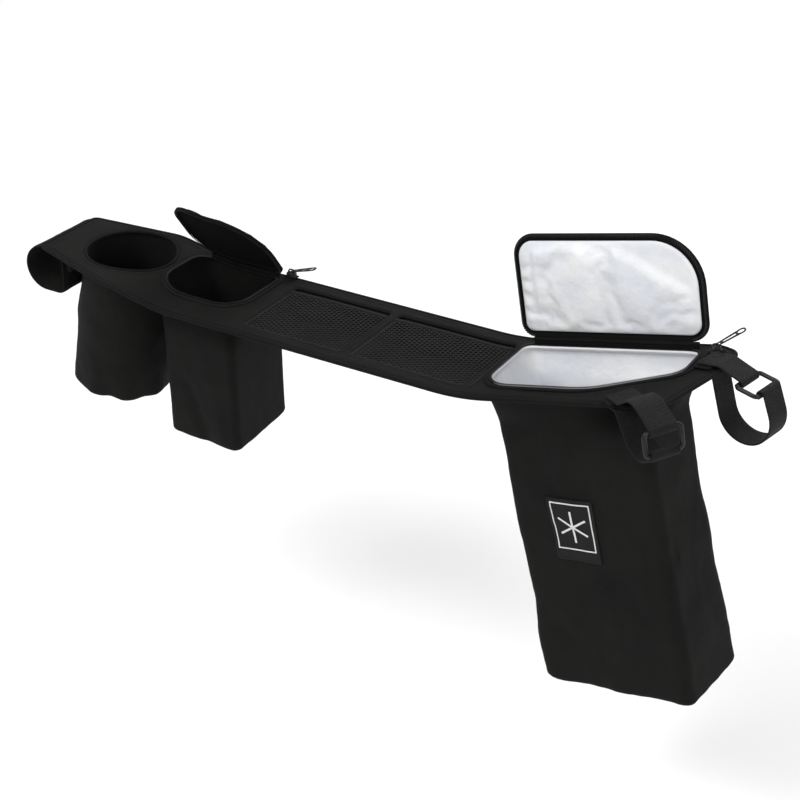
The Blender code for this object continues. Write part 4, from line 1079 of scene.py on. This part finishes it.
def clear_of_rim(shape, mouth, level):
    """Keeps a lid's lining above the rim's zipper, and lets it sink into the mouth inside that."""
    points, faces, uvs = shape
    flat = np.array(uvs)
    inside = inside_many(flat, mouth)
    reach = border_distance(flat, [mouth])
    made = []
    for i, point in enumerate(points):
        here, _, _, up = deck_frame(*uvs[i])
        lowest = level - (reach[i] * 0.6 if inside[i] else 0.0)
        rise = lowest - (Vector(point) - here).dot(up)
        made.append(Vector(point) + up * max(0.0, rise))
    return made, faces, uvs


def lid_wave(amount, size):
    def wave(u, v, distance):
        return crumple(u, v, 9.0, size, 3) * amount * smooth_step(distance / 0.008)
    return wave


def make_lids():
    levels = stack()
    for name, corners, degrees, puff, wave, reach, fill in (
            ("pocket", pocket_lid_corners(), POCKET_LID_OPEN, (0.0012, 0.010), (0.0008, 0.03), 0.004, 0.3),
            ("bag", bag_lid_corners(), BAG_LID_OPEN, (0.0016, 0.012), (0.0010, 0.04), 0.005, 0.4)):
        outline = rounded(grown(corners, TAPE_OUTSIDE))
        skin = padded_plate(outline, [], levels["skin"], on_deck, puff=puff[0], puff_reach=puff[1],
                            wave=lid_wave(*wave))
        skin = settled(skin, outline, reach, 0.03, held=-1)
        lid = piece(f"{name}_lid_cloth", moved(skin, swing(corners, degrees)), "fabric", f"{name}_lid_body",
                    [f"{name}_lid"])
    left = min(c[0] for c in corners)
    right = max(c[0] for c in corners)
    near = min(c[1] for c in corners)

    def ripple(u, v, distance):
        soft = 0.5 + crumple(u, v, 2.0, 0.050, 2) * 0.8
        at_left = math.exp(-((u - left) / 0.011) ** 2)
        at_right = math.exp(-((right - u) / 0.015) ** 2)
        at_top = math.exp(-((v - near) / 0.020) ** 2)
        bend = crumple(u, v, 5.0, 0.020, 2)
        gathers = (at_left + at_right) * (0.5 + 0.5 * math.sin(v * 2.0 * math.pi / 0.0105 + bend * 3.0))
        gathers += at_top * (0.5 + 0.5 * math.sin(u * 2.0 * math.pi / 0.034 + bend * 2.5)) * 0.9
        seam = math.exp(-((u - left - 0.0125) / 0.0016) ** 2)
        depth = (0.0009 * soft + 0.0022 * gathers) * (1.0 - 0.8 * seam)
        return -depth * smooth_step(distance / 0.005)

    low, high = levels["lining"]
    outline = rounded(grown(corners, -TAPE_INSIDE - RUN))
    pad = padded_plate(outline, [], (low, high), on_deck, grid=0.0025, wave=ripple)
    pad = settled(pad, outline, 0.006, 0.02, held=1)
    pad = clear_of_rim(pad, rounded(grown(bag_corners(), -0.0045)), low)
    lining = piece("bag_lid_lining_foil", moved(pad, swing(corners, BAG_LID_OPEN)), "lining", "bag_lid_body",
                   ["bag_lid_lining"])


# Mesh pockets

def hex_net(window, name, node):
    """Knitted mesh: strands round six-sided holes, clipped to the window."""
    left, right, near, far = window
    edge = far - MOUTH - ELASTIC_WIDTH - GAP
    box = (left + GAP, right - GAP, near + GAP, edge)
    rise = MESH_CELL * math.sqrt(3.0) / 2.0
    spots = {}
    strands = set()

    def corner(i, j, k):
        u = box[0] + j * rise
        v = box[2] + i * MESH_CELL + (MESH_CELL / 2.0 if j % 2 else 0.0)
        t = math.radians(60.0 * k)
        r = MESH_CELL / math.sqrt(3.0)
        p = (u + r * math.cos(t), v + r * math.sin(t))
        key = (round(p[0] * 1e5), round(p[1] * 1e5))
        spots[key] = p
        return key

    rows = int((box[1] - box[0]) / rise) + 2
    columns = int((box[3] - box[2]) / MESH_CELL) + 2
    for j in range(rows):
        for i in range(columns):
            keys = [corner(i, j, k) for k in range(6)]
            for k in range(6):
                a, b = keys[k], keys[(k + 1) % 6]
                strands.add((min(a, b), max(a, b)))
    shapes = []
    for a, b in sorted(strands):
        p, q = spots[a], spots[b]
        clipped = [(min(max(s[0], box[0]), box[1]), min(max(s[1], box[2]), box[3])) for s in (p, q)]
        if math.dist(clipped[0], clipped[1]) < 0.0004:
            continue
        ends = [on_deck(u, v, -0.0009 + net_height(window, u, v)) for u, v in clipped]
        shapes.append(tube(ends, STRAND_RADIUS, 4, up=deck_frame(p[0])[3], squash=0.8))
    piece(name, joined(shapes), "mesh", nodes=[node])
    return edge


def net_height(window, u, v):
    left, right, near, far = window
    along = math.sin(math.pi * min(1.0, max(0.0, (u - left) / (right - left))))
    across = math.sin(math.pi * min(1.0, max(0.0, (v - near) / (far - near))))
    return 0.002 * along * across + crumple(u, v, 1.0, 0.03, 2) * 0.0005 * along * across


def make_mesh_pockets():
    for side, window in zip(("left", "right"), mesh_windows()):
        edge = hex_net(window, f"mesh_net_{side}", f"mesh_panel_{side}")
        left, right, near, far = window
        band = (left - 0.0008, right + 0.0008, edge + GAP, edge + GAP + ELASTIC_WIDTH)

        def wave(u, v, distance, window=window):
            return net_height(window, u, v) + 0.00018 * math.sin(u * 2.0 * math.pi / 0.0022)

        plate = padded_plate(rounded(window_corners(band, radius=0.0008), 0.0009), [],
                             (-0.0019, 0.0001), on_deck, grid=0.0009, wave=wave)
        piece(f"mesh_elastic_band_{side}", plate, "elastic", nodes=[f"mesh_elastic_{side}"])
        stitches(*deck_line(closed(rounded(window_corners(window, 0.0026))), 0.0004),
                 f"mesh_window_stitching_{side}")
    make_mesh_floor()


def make_mesh_floor():
    windows = mesh_windows()
    left = windows[0][0] - FLOOR_MARGIN
    right = windows[-1][1] + FLOOR_BY_BAG
    near = windows[0][2] - FLOOR_MARGIN
    far = windows[0][3] + FLOOR_MARGIN
    top = -DECK_THICKNESS - GAP

    def sag(u, v, distance):
        along = min(u - left - FLOOR_MARGIN, right - FLOOR_BY_BAG - u) / 0.02
        across = min(v - near - FLOOR_MARGIN, far - FLOOR_MARGIN - v) / 0.016
        along = min(1.0, max(0.0, along))
        across = min(1.0, max(0.0, across))
        share = (along * (2.0 - along)) * (across * (2.0 - across))
        return -FLOOR_SAG * share + crumple(u, v, 3.0, 0.03, 3) * 0.0010 * share

    outline = rounded(region_corners(left, right, near, far, 0.004))
    floor = padded_plate(outline, [], (top - FLOOR_THICKNESS, top), on_deck, grid=0.004, wave=sag)
    sheet = piece("mesh_pocket_cloth", floor, "dark_lining", nodes=["mesh_pocket_floor"])


# The sleeve

def make_sleeve():
    middle = SLEEVE_THICKNESS / 2.0
    reach = BAR_RADIUS + RUN + middle
    path = [(reach * math.cos(math.radians(a)), reach * math.sin(math.radians(a)))
            for a in np.linspace(98.3, 270.0, 60)]
    rise = 0.006
    for a in np.linspace(-84.0, 0.0, 12):
        turn = math.radians(a)
        path.append((reach - rise + rise * math.cos(turn), -reach + rise + rise * math.sin(turn)))
    top = on_deck(reach, 0.0, -DECK_THICKNESS - GAP).z - middle
    for share in np.linspace(0.0, 1.0, 14)[1:]:
        path.append((reach, -reach + rise + (top + reach - rise) * share))
    run = [0.0]
    for a, b in zip(path[:-1], path[1:]):
        run.append(run[-1] + math.dist(a, b))
    length = run[-1]

    def at(s):
        x, z = (float(np.interp(s, run, [p[k] for p in path])) for k in (0, 1))
        return Vector((x, 0.0, z))

    def place(s, v, h):
        ahead = (at(s + 0.001) - at(s - 0.001)).normalized()
        return at(s) + Vector((0.0, v, 0.0)) + Vector((ahead.z, 0.0, -ahead.x)) * h

    half = END_WIDTH / 2.0
    outline = rounded([(0.0, END_SHIFT - half, 0.001), (length, END_SHIFT - half, 0.003),
                       (length, END_SHIFT + half, 0.003), (0.0, END_SHIFT + half, 0.001)])

    def wave(s, v, distance):
        return abs(crumple(s, v, 8.0, 0.02, 3)) * 0.0006 * smooth_step(distance / 0.004)

    cover = padded_plate(outline, [], (-middle, middle), place, grid=0.0028, wave=wave)
    piece("sleeve_cloth", cover, "fabric", nodes=["bar_sleeve"])
    for edge, side in ((-1.0, "near"), (1.0, "far")):
        v = END_SHIFT + edge * (half - 0.0035)
        spots = np.linspace(0.001, length - 0.002, 90)
        stitches([place(s, v, middle + 0.0001) for s in spots],
                 [place(s, v, middle + 0.001) - place(s, v, middle) for s in spots],
                 f"sleeve_stitching_{side}")
    for node, name in (("sleeve_hook_strip", "hook_strip"), ("sleeve_loop_tab", "loop_tab")):
        low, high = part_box(node)
        thick = (high.x - low.x) / 2.0
        centre = (low.x + high.x) / 2.0
        corners = rounded(region_corners(low.y, high.y, low.z, high.z, 0.0015))
        plate = padded_plate(corners, [], (-thick, thick), lambda a, b, h, c=centre: Vector((c + h, a, b)))
        piece(f"{name}_cloth", plate, "hook", nodes=[node])


# Label

def make_label():
    spec = bag_spec()
    place, swell = spec[4], spec[6]
    face = BAG_SECTION_FLOOR[2]

    def on_face(x, down, out):
        depth = LABEL_DEPTH + down
        bx = LABEL_SIDE + x
        grow, drop = swell(0.0, bx, face, depth, BAG_DEPTH)
        reach = math.hypot(bx, face)
        return place(bx + bx / reach * grow, face + face / reach * grow - GAP - out, depth + drop)

    def printed(outline, holes, name, node, grid):
        levels = (PATCH_THICKNESS, PATCH_THICKNESS + PRINT_THICKNESS)
        piece(name, padded_plate(outline, holes, levels, on_face, grid=grid), "print", nodes=[node])

    patch = padded_plate(rounded(box_corners(LABEL_WIDTH, LABEL_HEIGHT, 0.0016)), [], (0.0, PATCH_THICKNESS),
                         on_face, grid=0.002)
    piece("label_patch_cloth", patch, "patch", nodes=["label_patch"])
    window = box_corners(LABEL_WIDTH * 0.86, LABEL_WIDTH * 1.02, 0.0006)
    lift = -(LABEL_HEIGHT - LABEL_WIDTH * 1.02) / 2.0 + 0.003
    outer, hole = ([(x, y + lift) for x, y in rounded(c)] for c in (window, grown(window, -LABEL_LINE)))
    printed(outer, [hole], "label_frame_print", "label_frame", 0.002)
    star = []
    for k in range(6):
        angle = math.radians(30.0 + 60.0 * k)
        ahead = Vector((math.cos(angle), math.sin(angle)))
        side = Vector((-ahead.y, ahead.x)) * LABEL_LINE * 0.7
        tip = ahead * LABEL_WIDTH * 0.34
        star += [tip - side, tip + side, Matrix.Rotation(math.radians(30.0), 2) @ ahead * LABEL_LINE * 1.4]
    printed(divided([(p.x, p.y + lift) for p in star], 0.001), [], "label_star_print", "label_star", 0.001)
    border = closed(rounded(box_corners(LABEL_WIDTH - 0.002, LABEL_HEIGHT - 0.002, 0.0012)))
    out = place(0.0, -1.0, LABEL_DEPTH) - place(0.0, 0.0, LABEL_DEPTH)
    stitches([on_face(x, y, PATCH_THICKNESS + 0.00002) for x, y in border], [out] * len(border),
             "label_stitching", pitch=0.0022, length=0.0016)


# Zipper sliders

def slider_frame(u, v, turn, h):
    origin, along, across, up = deck_frame(u, v, h)
    angle = math.radians(turn)
    ahead = along * math.cos(angle) + across * math.sin(angle)
    side = -along * math.sin(angle) + across * math.cos(angle)
    return origin, ahead, side, up


def make_slider(name, u, v, turn, base, body):
    origin, ahead, side, up = slider_frame(u, v, turn, base + GAP + TAPE_THICKNESS + GAP)
    lift = SLIDER_HEIGHT

    def flat(x, y, z):
        return origin + ahead * x + side * y + up * z

    half, wide = SLIDER_LENGTH / 2.0, SLIDER_WIDTH / 2.0
    nose = [(-half, -wide * 0.72, 0.0012), (half * 0.2, -wide * 0.98, 0.0014), (half, -wide * 0.8, 0.0016),
            (half, wide * 0.8, 0.0016), (half * 0.2, wide * 0.98, 0.0014), (-half, wide * 0.72, 0.0012)]
    lower = padded_plate(rounded(nose, 0.0006), [], (0.0, 0.0010), flat, grid=0.0008)
    upper = padded_plate(rounded(grown(nose, -0.0003), 0.0006), [], (0.0015, lift), flat, grid=0.0008,
                         puff=0.0002, puff_reach=0.001)
    post = padded_plate(rounded(box_corners(0.0034, 0.0018, 0.0007), 0.0004), [], (0.0006, 0.0018), flat,
                        grid=0.0005)
    window = 0.0019
    arch = [flat(x, 0.0, lift + z) for x, z in (
        (-0.0028, -0.0003), (-0.0026, window * 0.6), (-0.0016, window + 0.0006), (0.0, window + 0.0008),
        (0.0016, window + 0.0006), (0.0026, window * 0.6), (0.0028, -0.0003))]
    bridge = tube(arch, 0.0006, 8, up=[side] * len(arch), squash=1.6)
    piece(f"{name}_slider_metal", joined([lower, upper, post, bridge]), "slider", nodes=[f"{name}_slider"])
    tilt = math.radians(PULL_TILT)
    out = ahead * math.cos(tilt) + up * math.sin(tilt)
    normal = -ahead * math.sin(tilt) + up * math.cos(tilt)
    pivot = origin + up * (lift + 0.0004 + (window - 0.0004) / 2.0)

    def on_pull(x, y, z):
        return pivot + out * x + side * y + normal * z

    eye = 0.0014
    tip, wing = PULL_LENGTH, PULL_WIDTH / 2.0
    outline = rounded([(-0.00045, -eye - 0.0009, 0.0005), (0.0042, -eye - 0.0009, 0.0012),
                       (tip, -wing, wing * 0.9), (tip, wing, wing * 0.9),
                       (0.0042, eye + 0.0009, 0.0012), (-0.00045, eye + 0.0009, 0.0005)], 0.0008)
    slot = rounded(region_corners(0.00045, 0.0038, -eye, eye, 0.0004), 0.0005)
    finger = circle((tip - wing, 0.0), wing - 0.0012, 28)
    grip = rounded([(0.0062, -0.0013, 0.0006), (tip - 2.0 * wing - 0.0004, -0.0016, 0.0006),
                    (tip - 2.0 * wing - 0.0004, 0.0016, 0.0006), (0.0062, 0.0013, 0.0006)], 0.0008)
    plate = padded_plate(outline, [slot, finger, grip], (-0.0006, 0.0007), on_pull, grid=0.0011)
    piece(f"{name}_pull_tag", plate, "pull", body, [f"{name}_pull"])
    length, width = SLIDER_LENGTH + 0.002, SLIDER_WIDTH + 0.0006
    floor = slider_frame(u, v, turn, base + GAP)

    def on_tail(x, y, z):
        return floor[0] + floor[1] * x + floor[2] * y + floor[3] * z

    tail = padded_plate(rounded(box_corners(length, width, 0.001), 0.0012), [], (0.0, TAPE_THICKNESS),
                        on_tail, grid=0.0015)
    piece(f"{name}_tape_tail", tail, "tape", nodes=[f"{name}_tape_end"])


# Straps

def arc(centre, radius, start, end, pieces):
    turns = [math.radians(start + (end - start) * k / pieces) for k in range(pieces + 1)]
    return [(centre[0] + radius * math.cos(t), centre[1] + radius * math.sin(t)) for t in turns]


def outer_tangent(c1, r1, c2, r2):
    away = Vector(c2) - Vector(c1)
    return math.degrees(math.atan2(away.y, away.x) + math.acos((r1 - r2) / away.length))


def touching(point, centre, radius, side):
    away = Vector(point) - Vector(centre)
    lead = math.atan2(away.y, away.x)
    return math.degrees(lead + side * math.acos(min(1.0, radius / away.length)))


def strap_paths(reach, bar_below, ring_angle):
    """Side view of a strap: a is outwards from the deck's edge, b is above the deck's top face."""
    bar = (reach - BAR_RADIUS - RING_WIRE, -bar_below)
    wrap = BAR_RADIUS + RUN + WEB_THICKNESS * 1.5 + GAP
    turn = math.radians(ring_angle)
    out = Vector((math.cos(turn), math.sin(turn)))
    along = Vector((-out.y, out.x))
    stand = BAR_RADIUS + RUN + WEB_THICKNESS + 2.0 * GAP + RING_WIRE
    centre = Vector(bar) + out * stand
    top = tuple(centre + along * (RING_DROP / 2.0 - RING_WIRE))
    bottom = tuple(centre - along * (RING_DROP / 2.0 - RING_WIRE))
    eye = RING_WIRE + GAP + WEB_THICKNESS / 2.0
    above = BINDING_RISE + TAB_THICKNESS + 2.0 * GAP + WEB_THICKNESS / 2.0
    start = (0.004, above)
    on = touching(start, bar, wrap, -1.0)
    off = outer_tangent(bar, wrap, top, eye)
    upper = [(-STRAP_TAIL, above), (-STRAP_TAIL / 2.0, above), start]
    if on > off:
        upper += arc(bar, wrap, on, off, 24)
    else:
        off = touching(start, top, eye, -1.0)
    upper += arc(top, eye, off, off - 235.0, 22)
    low_on = outer_tangent(bottom, eye, bar, wrap)
    under = -DECK_THICKNESS - GAP - WEB_THICKNESS / 2.0
    finish = (-0.002, under)
    low_off = touching(finish, bar, wrap, 1.0)
    lower = arc(bottom, eye, low_on + 235.0, low_on, 22)
    lower += arc(bar, wrap, low_on, low_off - 360.0 * math.ceil((low_off - low_on) / 360.0), 40)
    lower += [finish, (-STRAP_TAIL / 2.0, under), (-STRAP_TAIL, under)]
    return upper, lower, centre, along, out


def webbing_shape(path, across, width, thickness):
    """A woven strap with rounded selvedges along a path."""
    line = [Vector(p) for p in divided([tuple(p) for p in path], 0.0011, closed=False)]
    section = []
    round_steps = [(-1.0, a) for a in (90, 120, 150, 180, 210, 240, 270)]
    for side, angle in round_steps + [(1.0, a) for a in (270, 300, 330, 0, 30, 60, 90)]:
        t = math.radians(angle)
        section.append((side * (width / 2.0 - thickness / 2.0) + math.cos(t) * thickness / 2.0,
                        math.sin(t) * thickness / 2.0))
    ribs = 9
    dense = []
    for k, (a, b) in enumerate(section):
        dense.append((a, b))
        nxt = section[(k + 1) % len(section)]
        if abs(nxt[0] - a) > width * 0.5:
            dense += [(a + (nxt[0] - a) * j / ribs, b) for j in range(1, ribs)]
    half = across.normalized()
    points, uvs, faces = [], [], []
    run = 0.0
    count = len(dense)
    for i, here in enumerate(line):
        before, after = line[max(i - 1, 0)], line[min(i + 1, len(line) - 1)]
        up = (after - before).cross(half).normalized()
        run += (here - line[i - 1]).length if i else 0.0
        for a, b in dense:
            points.append(here + half * a + up * b)
            uvs.append((a + (0.05 if b > 0 else 0.0), run))
    for i in range(len(line) - 1):
        for k in range(count):
            n = (k + 1) % count
            faces.append([i * count + k, i * count + n, (i + 1) * count + n, (i + 1) * count + k])
    faces += [[k for k in range(count)][::-1], [(len(line) - 1) * count + k for k in range(count)]]
    return points, faces, uvs


def make_strap(side, strap):
    origin, along, across, up = deck_frame(strap["u"], strap["v"])
    angle = math.radians(strap["turn"])
    width = along * math.cos(angle) + across * math.sin(angle)
    out = along * math.sin(angle) - across * math.cos(angle)
    upper, lower, centre, ring_up, ring_out = strap_paths(strap["reach"], strap["below"], strap["ring"])

    def put(a, b, w=0.0):
        return origin + out * a + up * b + width * w

    for part, line in (("upper", upper), ("lower", lower)):
        path = [put(a, b) for a, b in line]
        piece(f"{side}_webbing_{part}", webbing_shape(path, width, WEB_WIDTH, WEB_THICKNESS), "webbing",
              nodes=[f"{side}_strap_{part}"])
    middle = put(*centre)
    tall = out * ring_up[0] + up * ring_up[1]
    face = out * ring_out[0] + up * ring_out[1]
    corners = box_corners(RING_SPAN + RING_WIRE, RING_DROP - 2.0 * RING_WIRE, RING_WIRE * 1.9)
    line = [middle + width * x + tall * y for x, y in rounded(corners, 0.0012, 12.0)]
    piece(f"{side}_ring_plastic", tube(line, RING_WIRE, 14, closed=True, up=face, squash=0.92), "ring",
          nodes=[f"{side}_ring"])
    length, breadth = STRAP_TAIL + 0.0005, WEB_WIDTH + 0.006
    low = BINDING_RISE + GAP
    shift = -length / 2.0 - 0.001
    tab = padded_plate(rounded(box_corners(length, breadth, 0.002)), [], (low, low + TAB_THICKNESS),
                       lambda a, w, h: put(a + shift, h, w), grid=0.002)
    piece(f"{side}_strap_tab_cloth", tab, "fabric", nodes=[f"{side}_strap_tab"])
    top = low + TAB_THICKNESS + GAP + WEB_THICKNESS
    block = [(-0.0115, -0.008), (-0.0025, -0.008), (-0.0025, 0.008), (-0.0115, 0.008), (-0.0115, -0.008),
             (-0.0025, 0.008), (-0.0115, 0.008), (-0.0025, -0.008)]
    path = divided(block, 0.001, closed=False)
    stitches([put(a, top, w) for a, w in path], [up] * len(path), f"{side}_box_stitching", pitch=0.0024,
             length=0.0018)


# Camera, light and floor

def make_camera():
    yaw, pitch, roll = (math.radians(a) for a in (CAMERA_YAW, CAMERA_PITCH, CAMERA_ROLL))
    ahead = Vector((-math.sin(yaw) * math.cos(pitch), math.cos(yaw) * math.cos(pitch), -math.sin(pitch)))
    right = Vector((math.cos(yaw), math.sin(yaw), 0.0))
    down = ahead.cross(right)
    right2 = right * math.cos(roll) + down * math.sin(roll)
    down2 = down * math.cos(roll) - right * math.sin(roll)
    turn = Matrix((right2, -down2, -ahead)).transposed()
    lens = bpy.data.cameras.new("camera")
    lens.lens = CAMERA_LENS
    lens.sensor_width = 36.0
    lens.clip_start = 0.01
    made = bpy.data.objects.new("camera", lens)
    made.matrix_world = Matrix.Translation(CAMERA_PLACE) @ turn.to_4x4()
    bpy.context.scene.collection.objects.link(made)
    bpy.context.scene.camera = made


def make_lights():
    centre = Vector((0.28, 0.0, -0.03))
    for name, place, size, power in (("key", (-0.5, -1.1, 1.5), 0.9, 26.0),
                                     ("fill", (1.6, -0.8, 0.7), 1.2, 12.0),
                                     ("back", (0.3, 1.5, 1.0), 1.0, 12.0)):
        lamp = bpy.data.lights.new(name, "AREA")
        lamp.energy = power
        lamp.size = size
        made = bpy.data.objects.new(name, lamp)
        made.location = place
        made.rotation_euler = (centre - Vector(place)).to_track_quat("-Z", "Y").to_euler()
        bpy.context.scene.collection.objects.link(made)
    world = bpy.data.worlds.new("studio")
    world.use_nodes = True
    tree = world.node_tree
    background = tree.nodes["Background"]
    path = add_node(tree, "ShaderNodeLightPath")
    background.inputs["Color"].default_value = (1.0, 1.0, 1.0, 1.0)
    tree.links.new(varied(tree, path.outputs["Is Camera Ray"], 0.55, 1.0), background.inputs["Strength"])
    bpy.context.scene.world = world


def make_floor():
    mesh = bpy.data.meshes.new("floor")
    far = 9.0
    mesh.from_pydata([(-far, -far, FLOOR_HEIGHT), (far, -far, FLOOR_HEIGHT), (far, far, FLOOR_HEIGHT),
                      (-far, far, FLOOR_HEIGHT)], [], [(0, 1, 2, 3)])
    made = bpy.data.objects.new("floor", mesh)
    look, tree, shader = node_tree("pale_floor", (0.86, 0.86, 0.86), 0.9, 0.1)
    path = add_node(tree, "ShaderNodeLightPath")
    place = add_node(tree, "ShaderNodeTexCoord")
    away = add_node(tree, "ShaderNodeVectorMath", [(0, place.outputs["Object"])], operation="LENGTH")
    spread = add_node(tree, "ShaderNodeMapRange", [("Value", away.outputs["Value"])], in_From_Min=0.8,
                      in_From_Max=3.0, in_To_Min=0.12, in_To_Max=0.56)
    glow = add_node(tree, "ShaderNodeEmission", [("Strength", spread.outputs["Result"])],
                    in_Color=(1.0, 1.0, 1.0, 1.0))
    dark = add_node(tree, "ShaderNodeEmission", in_Strength=0.0)
    shares = [("Fac", path.outputs["Is Camera Ray"]), (1, dark.outputs[0]), (2, glow.outputs[0])]
    pick = add_node(tree, "ShaderNodeMixShader", shares)
    both = add_node(tree, "ShaderNodeAddShader", [(0, shader.outputs[0]), (1, pick.outputs[0])])
    tree.links.new(both.outputs[0], tree.nodes["Material Output"].inputs["Surface"])
    mesh.materials.append(look)
    bpy.context.scene.collection.objects.link(made)


make_camera()
make_deck()
make_cup_collar()
make_bags()
for name, rim, lid, degrees in (("pocket", pocket_corners(), pocket_lid_corners(), POCKET_LID_OPEN),
                                ("bag", bag_corners(), bag_lid_corners(), BAG_LID_OPEN)):
    make_zip(name, rim, 0.0, "rim", ROOT)
    make_zip(name, lid, degrees, "lid", f"{name}_lid_body")
make_hinge("pocket", pocket_lid_corners())
make_hinge("bag", bag_lid_corners())
make_lids()
make_mesh_pockets()
make_sleeve()
make_label()
make_slider("pocket", POCKET_U + POCKET_LENGTH + 0.0045, POCKET_MIDDLE + POCKET_REACH / 2.0 + 0.0075, 0.0,
            BINDING_RISE, "pocket_pull_body")
make_slider("bag", BAG_U + BAG_LENGTH + 0.0072, BAG_MIDDLE + BAG_REACH / 2.0 - 0.0018, 40.0, 0.0,
            "bag_pull_body")
make_strap("near", NEAR_STRAP)
make_strap("far", FAR_STRAP)
make_lights()
make_floor()
bpy.context.scene.view_settings.view_transform = "Standard"
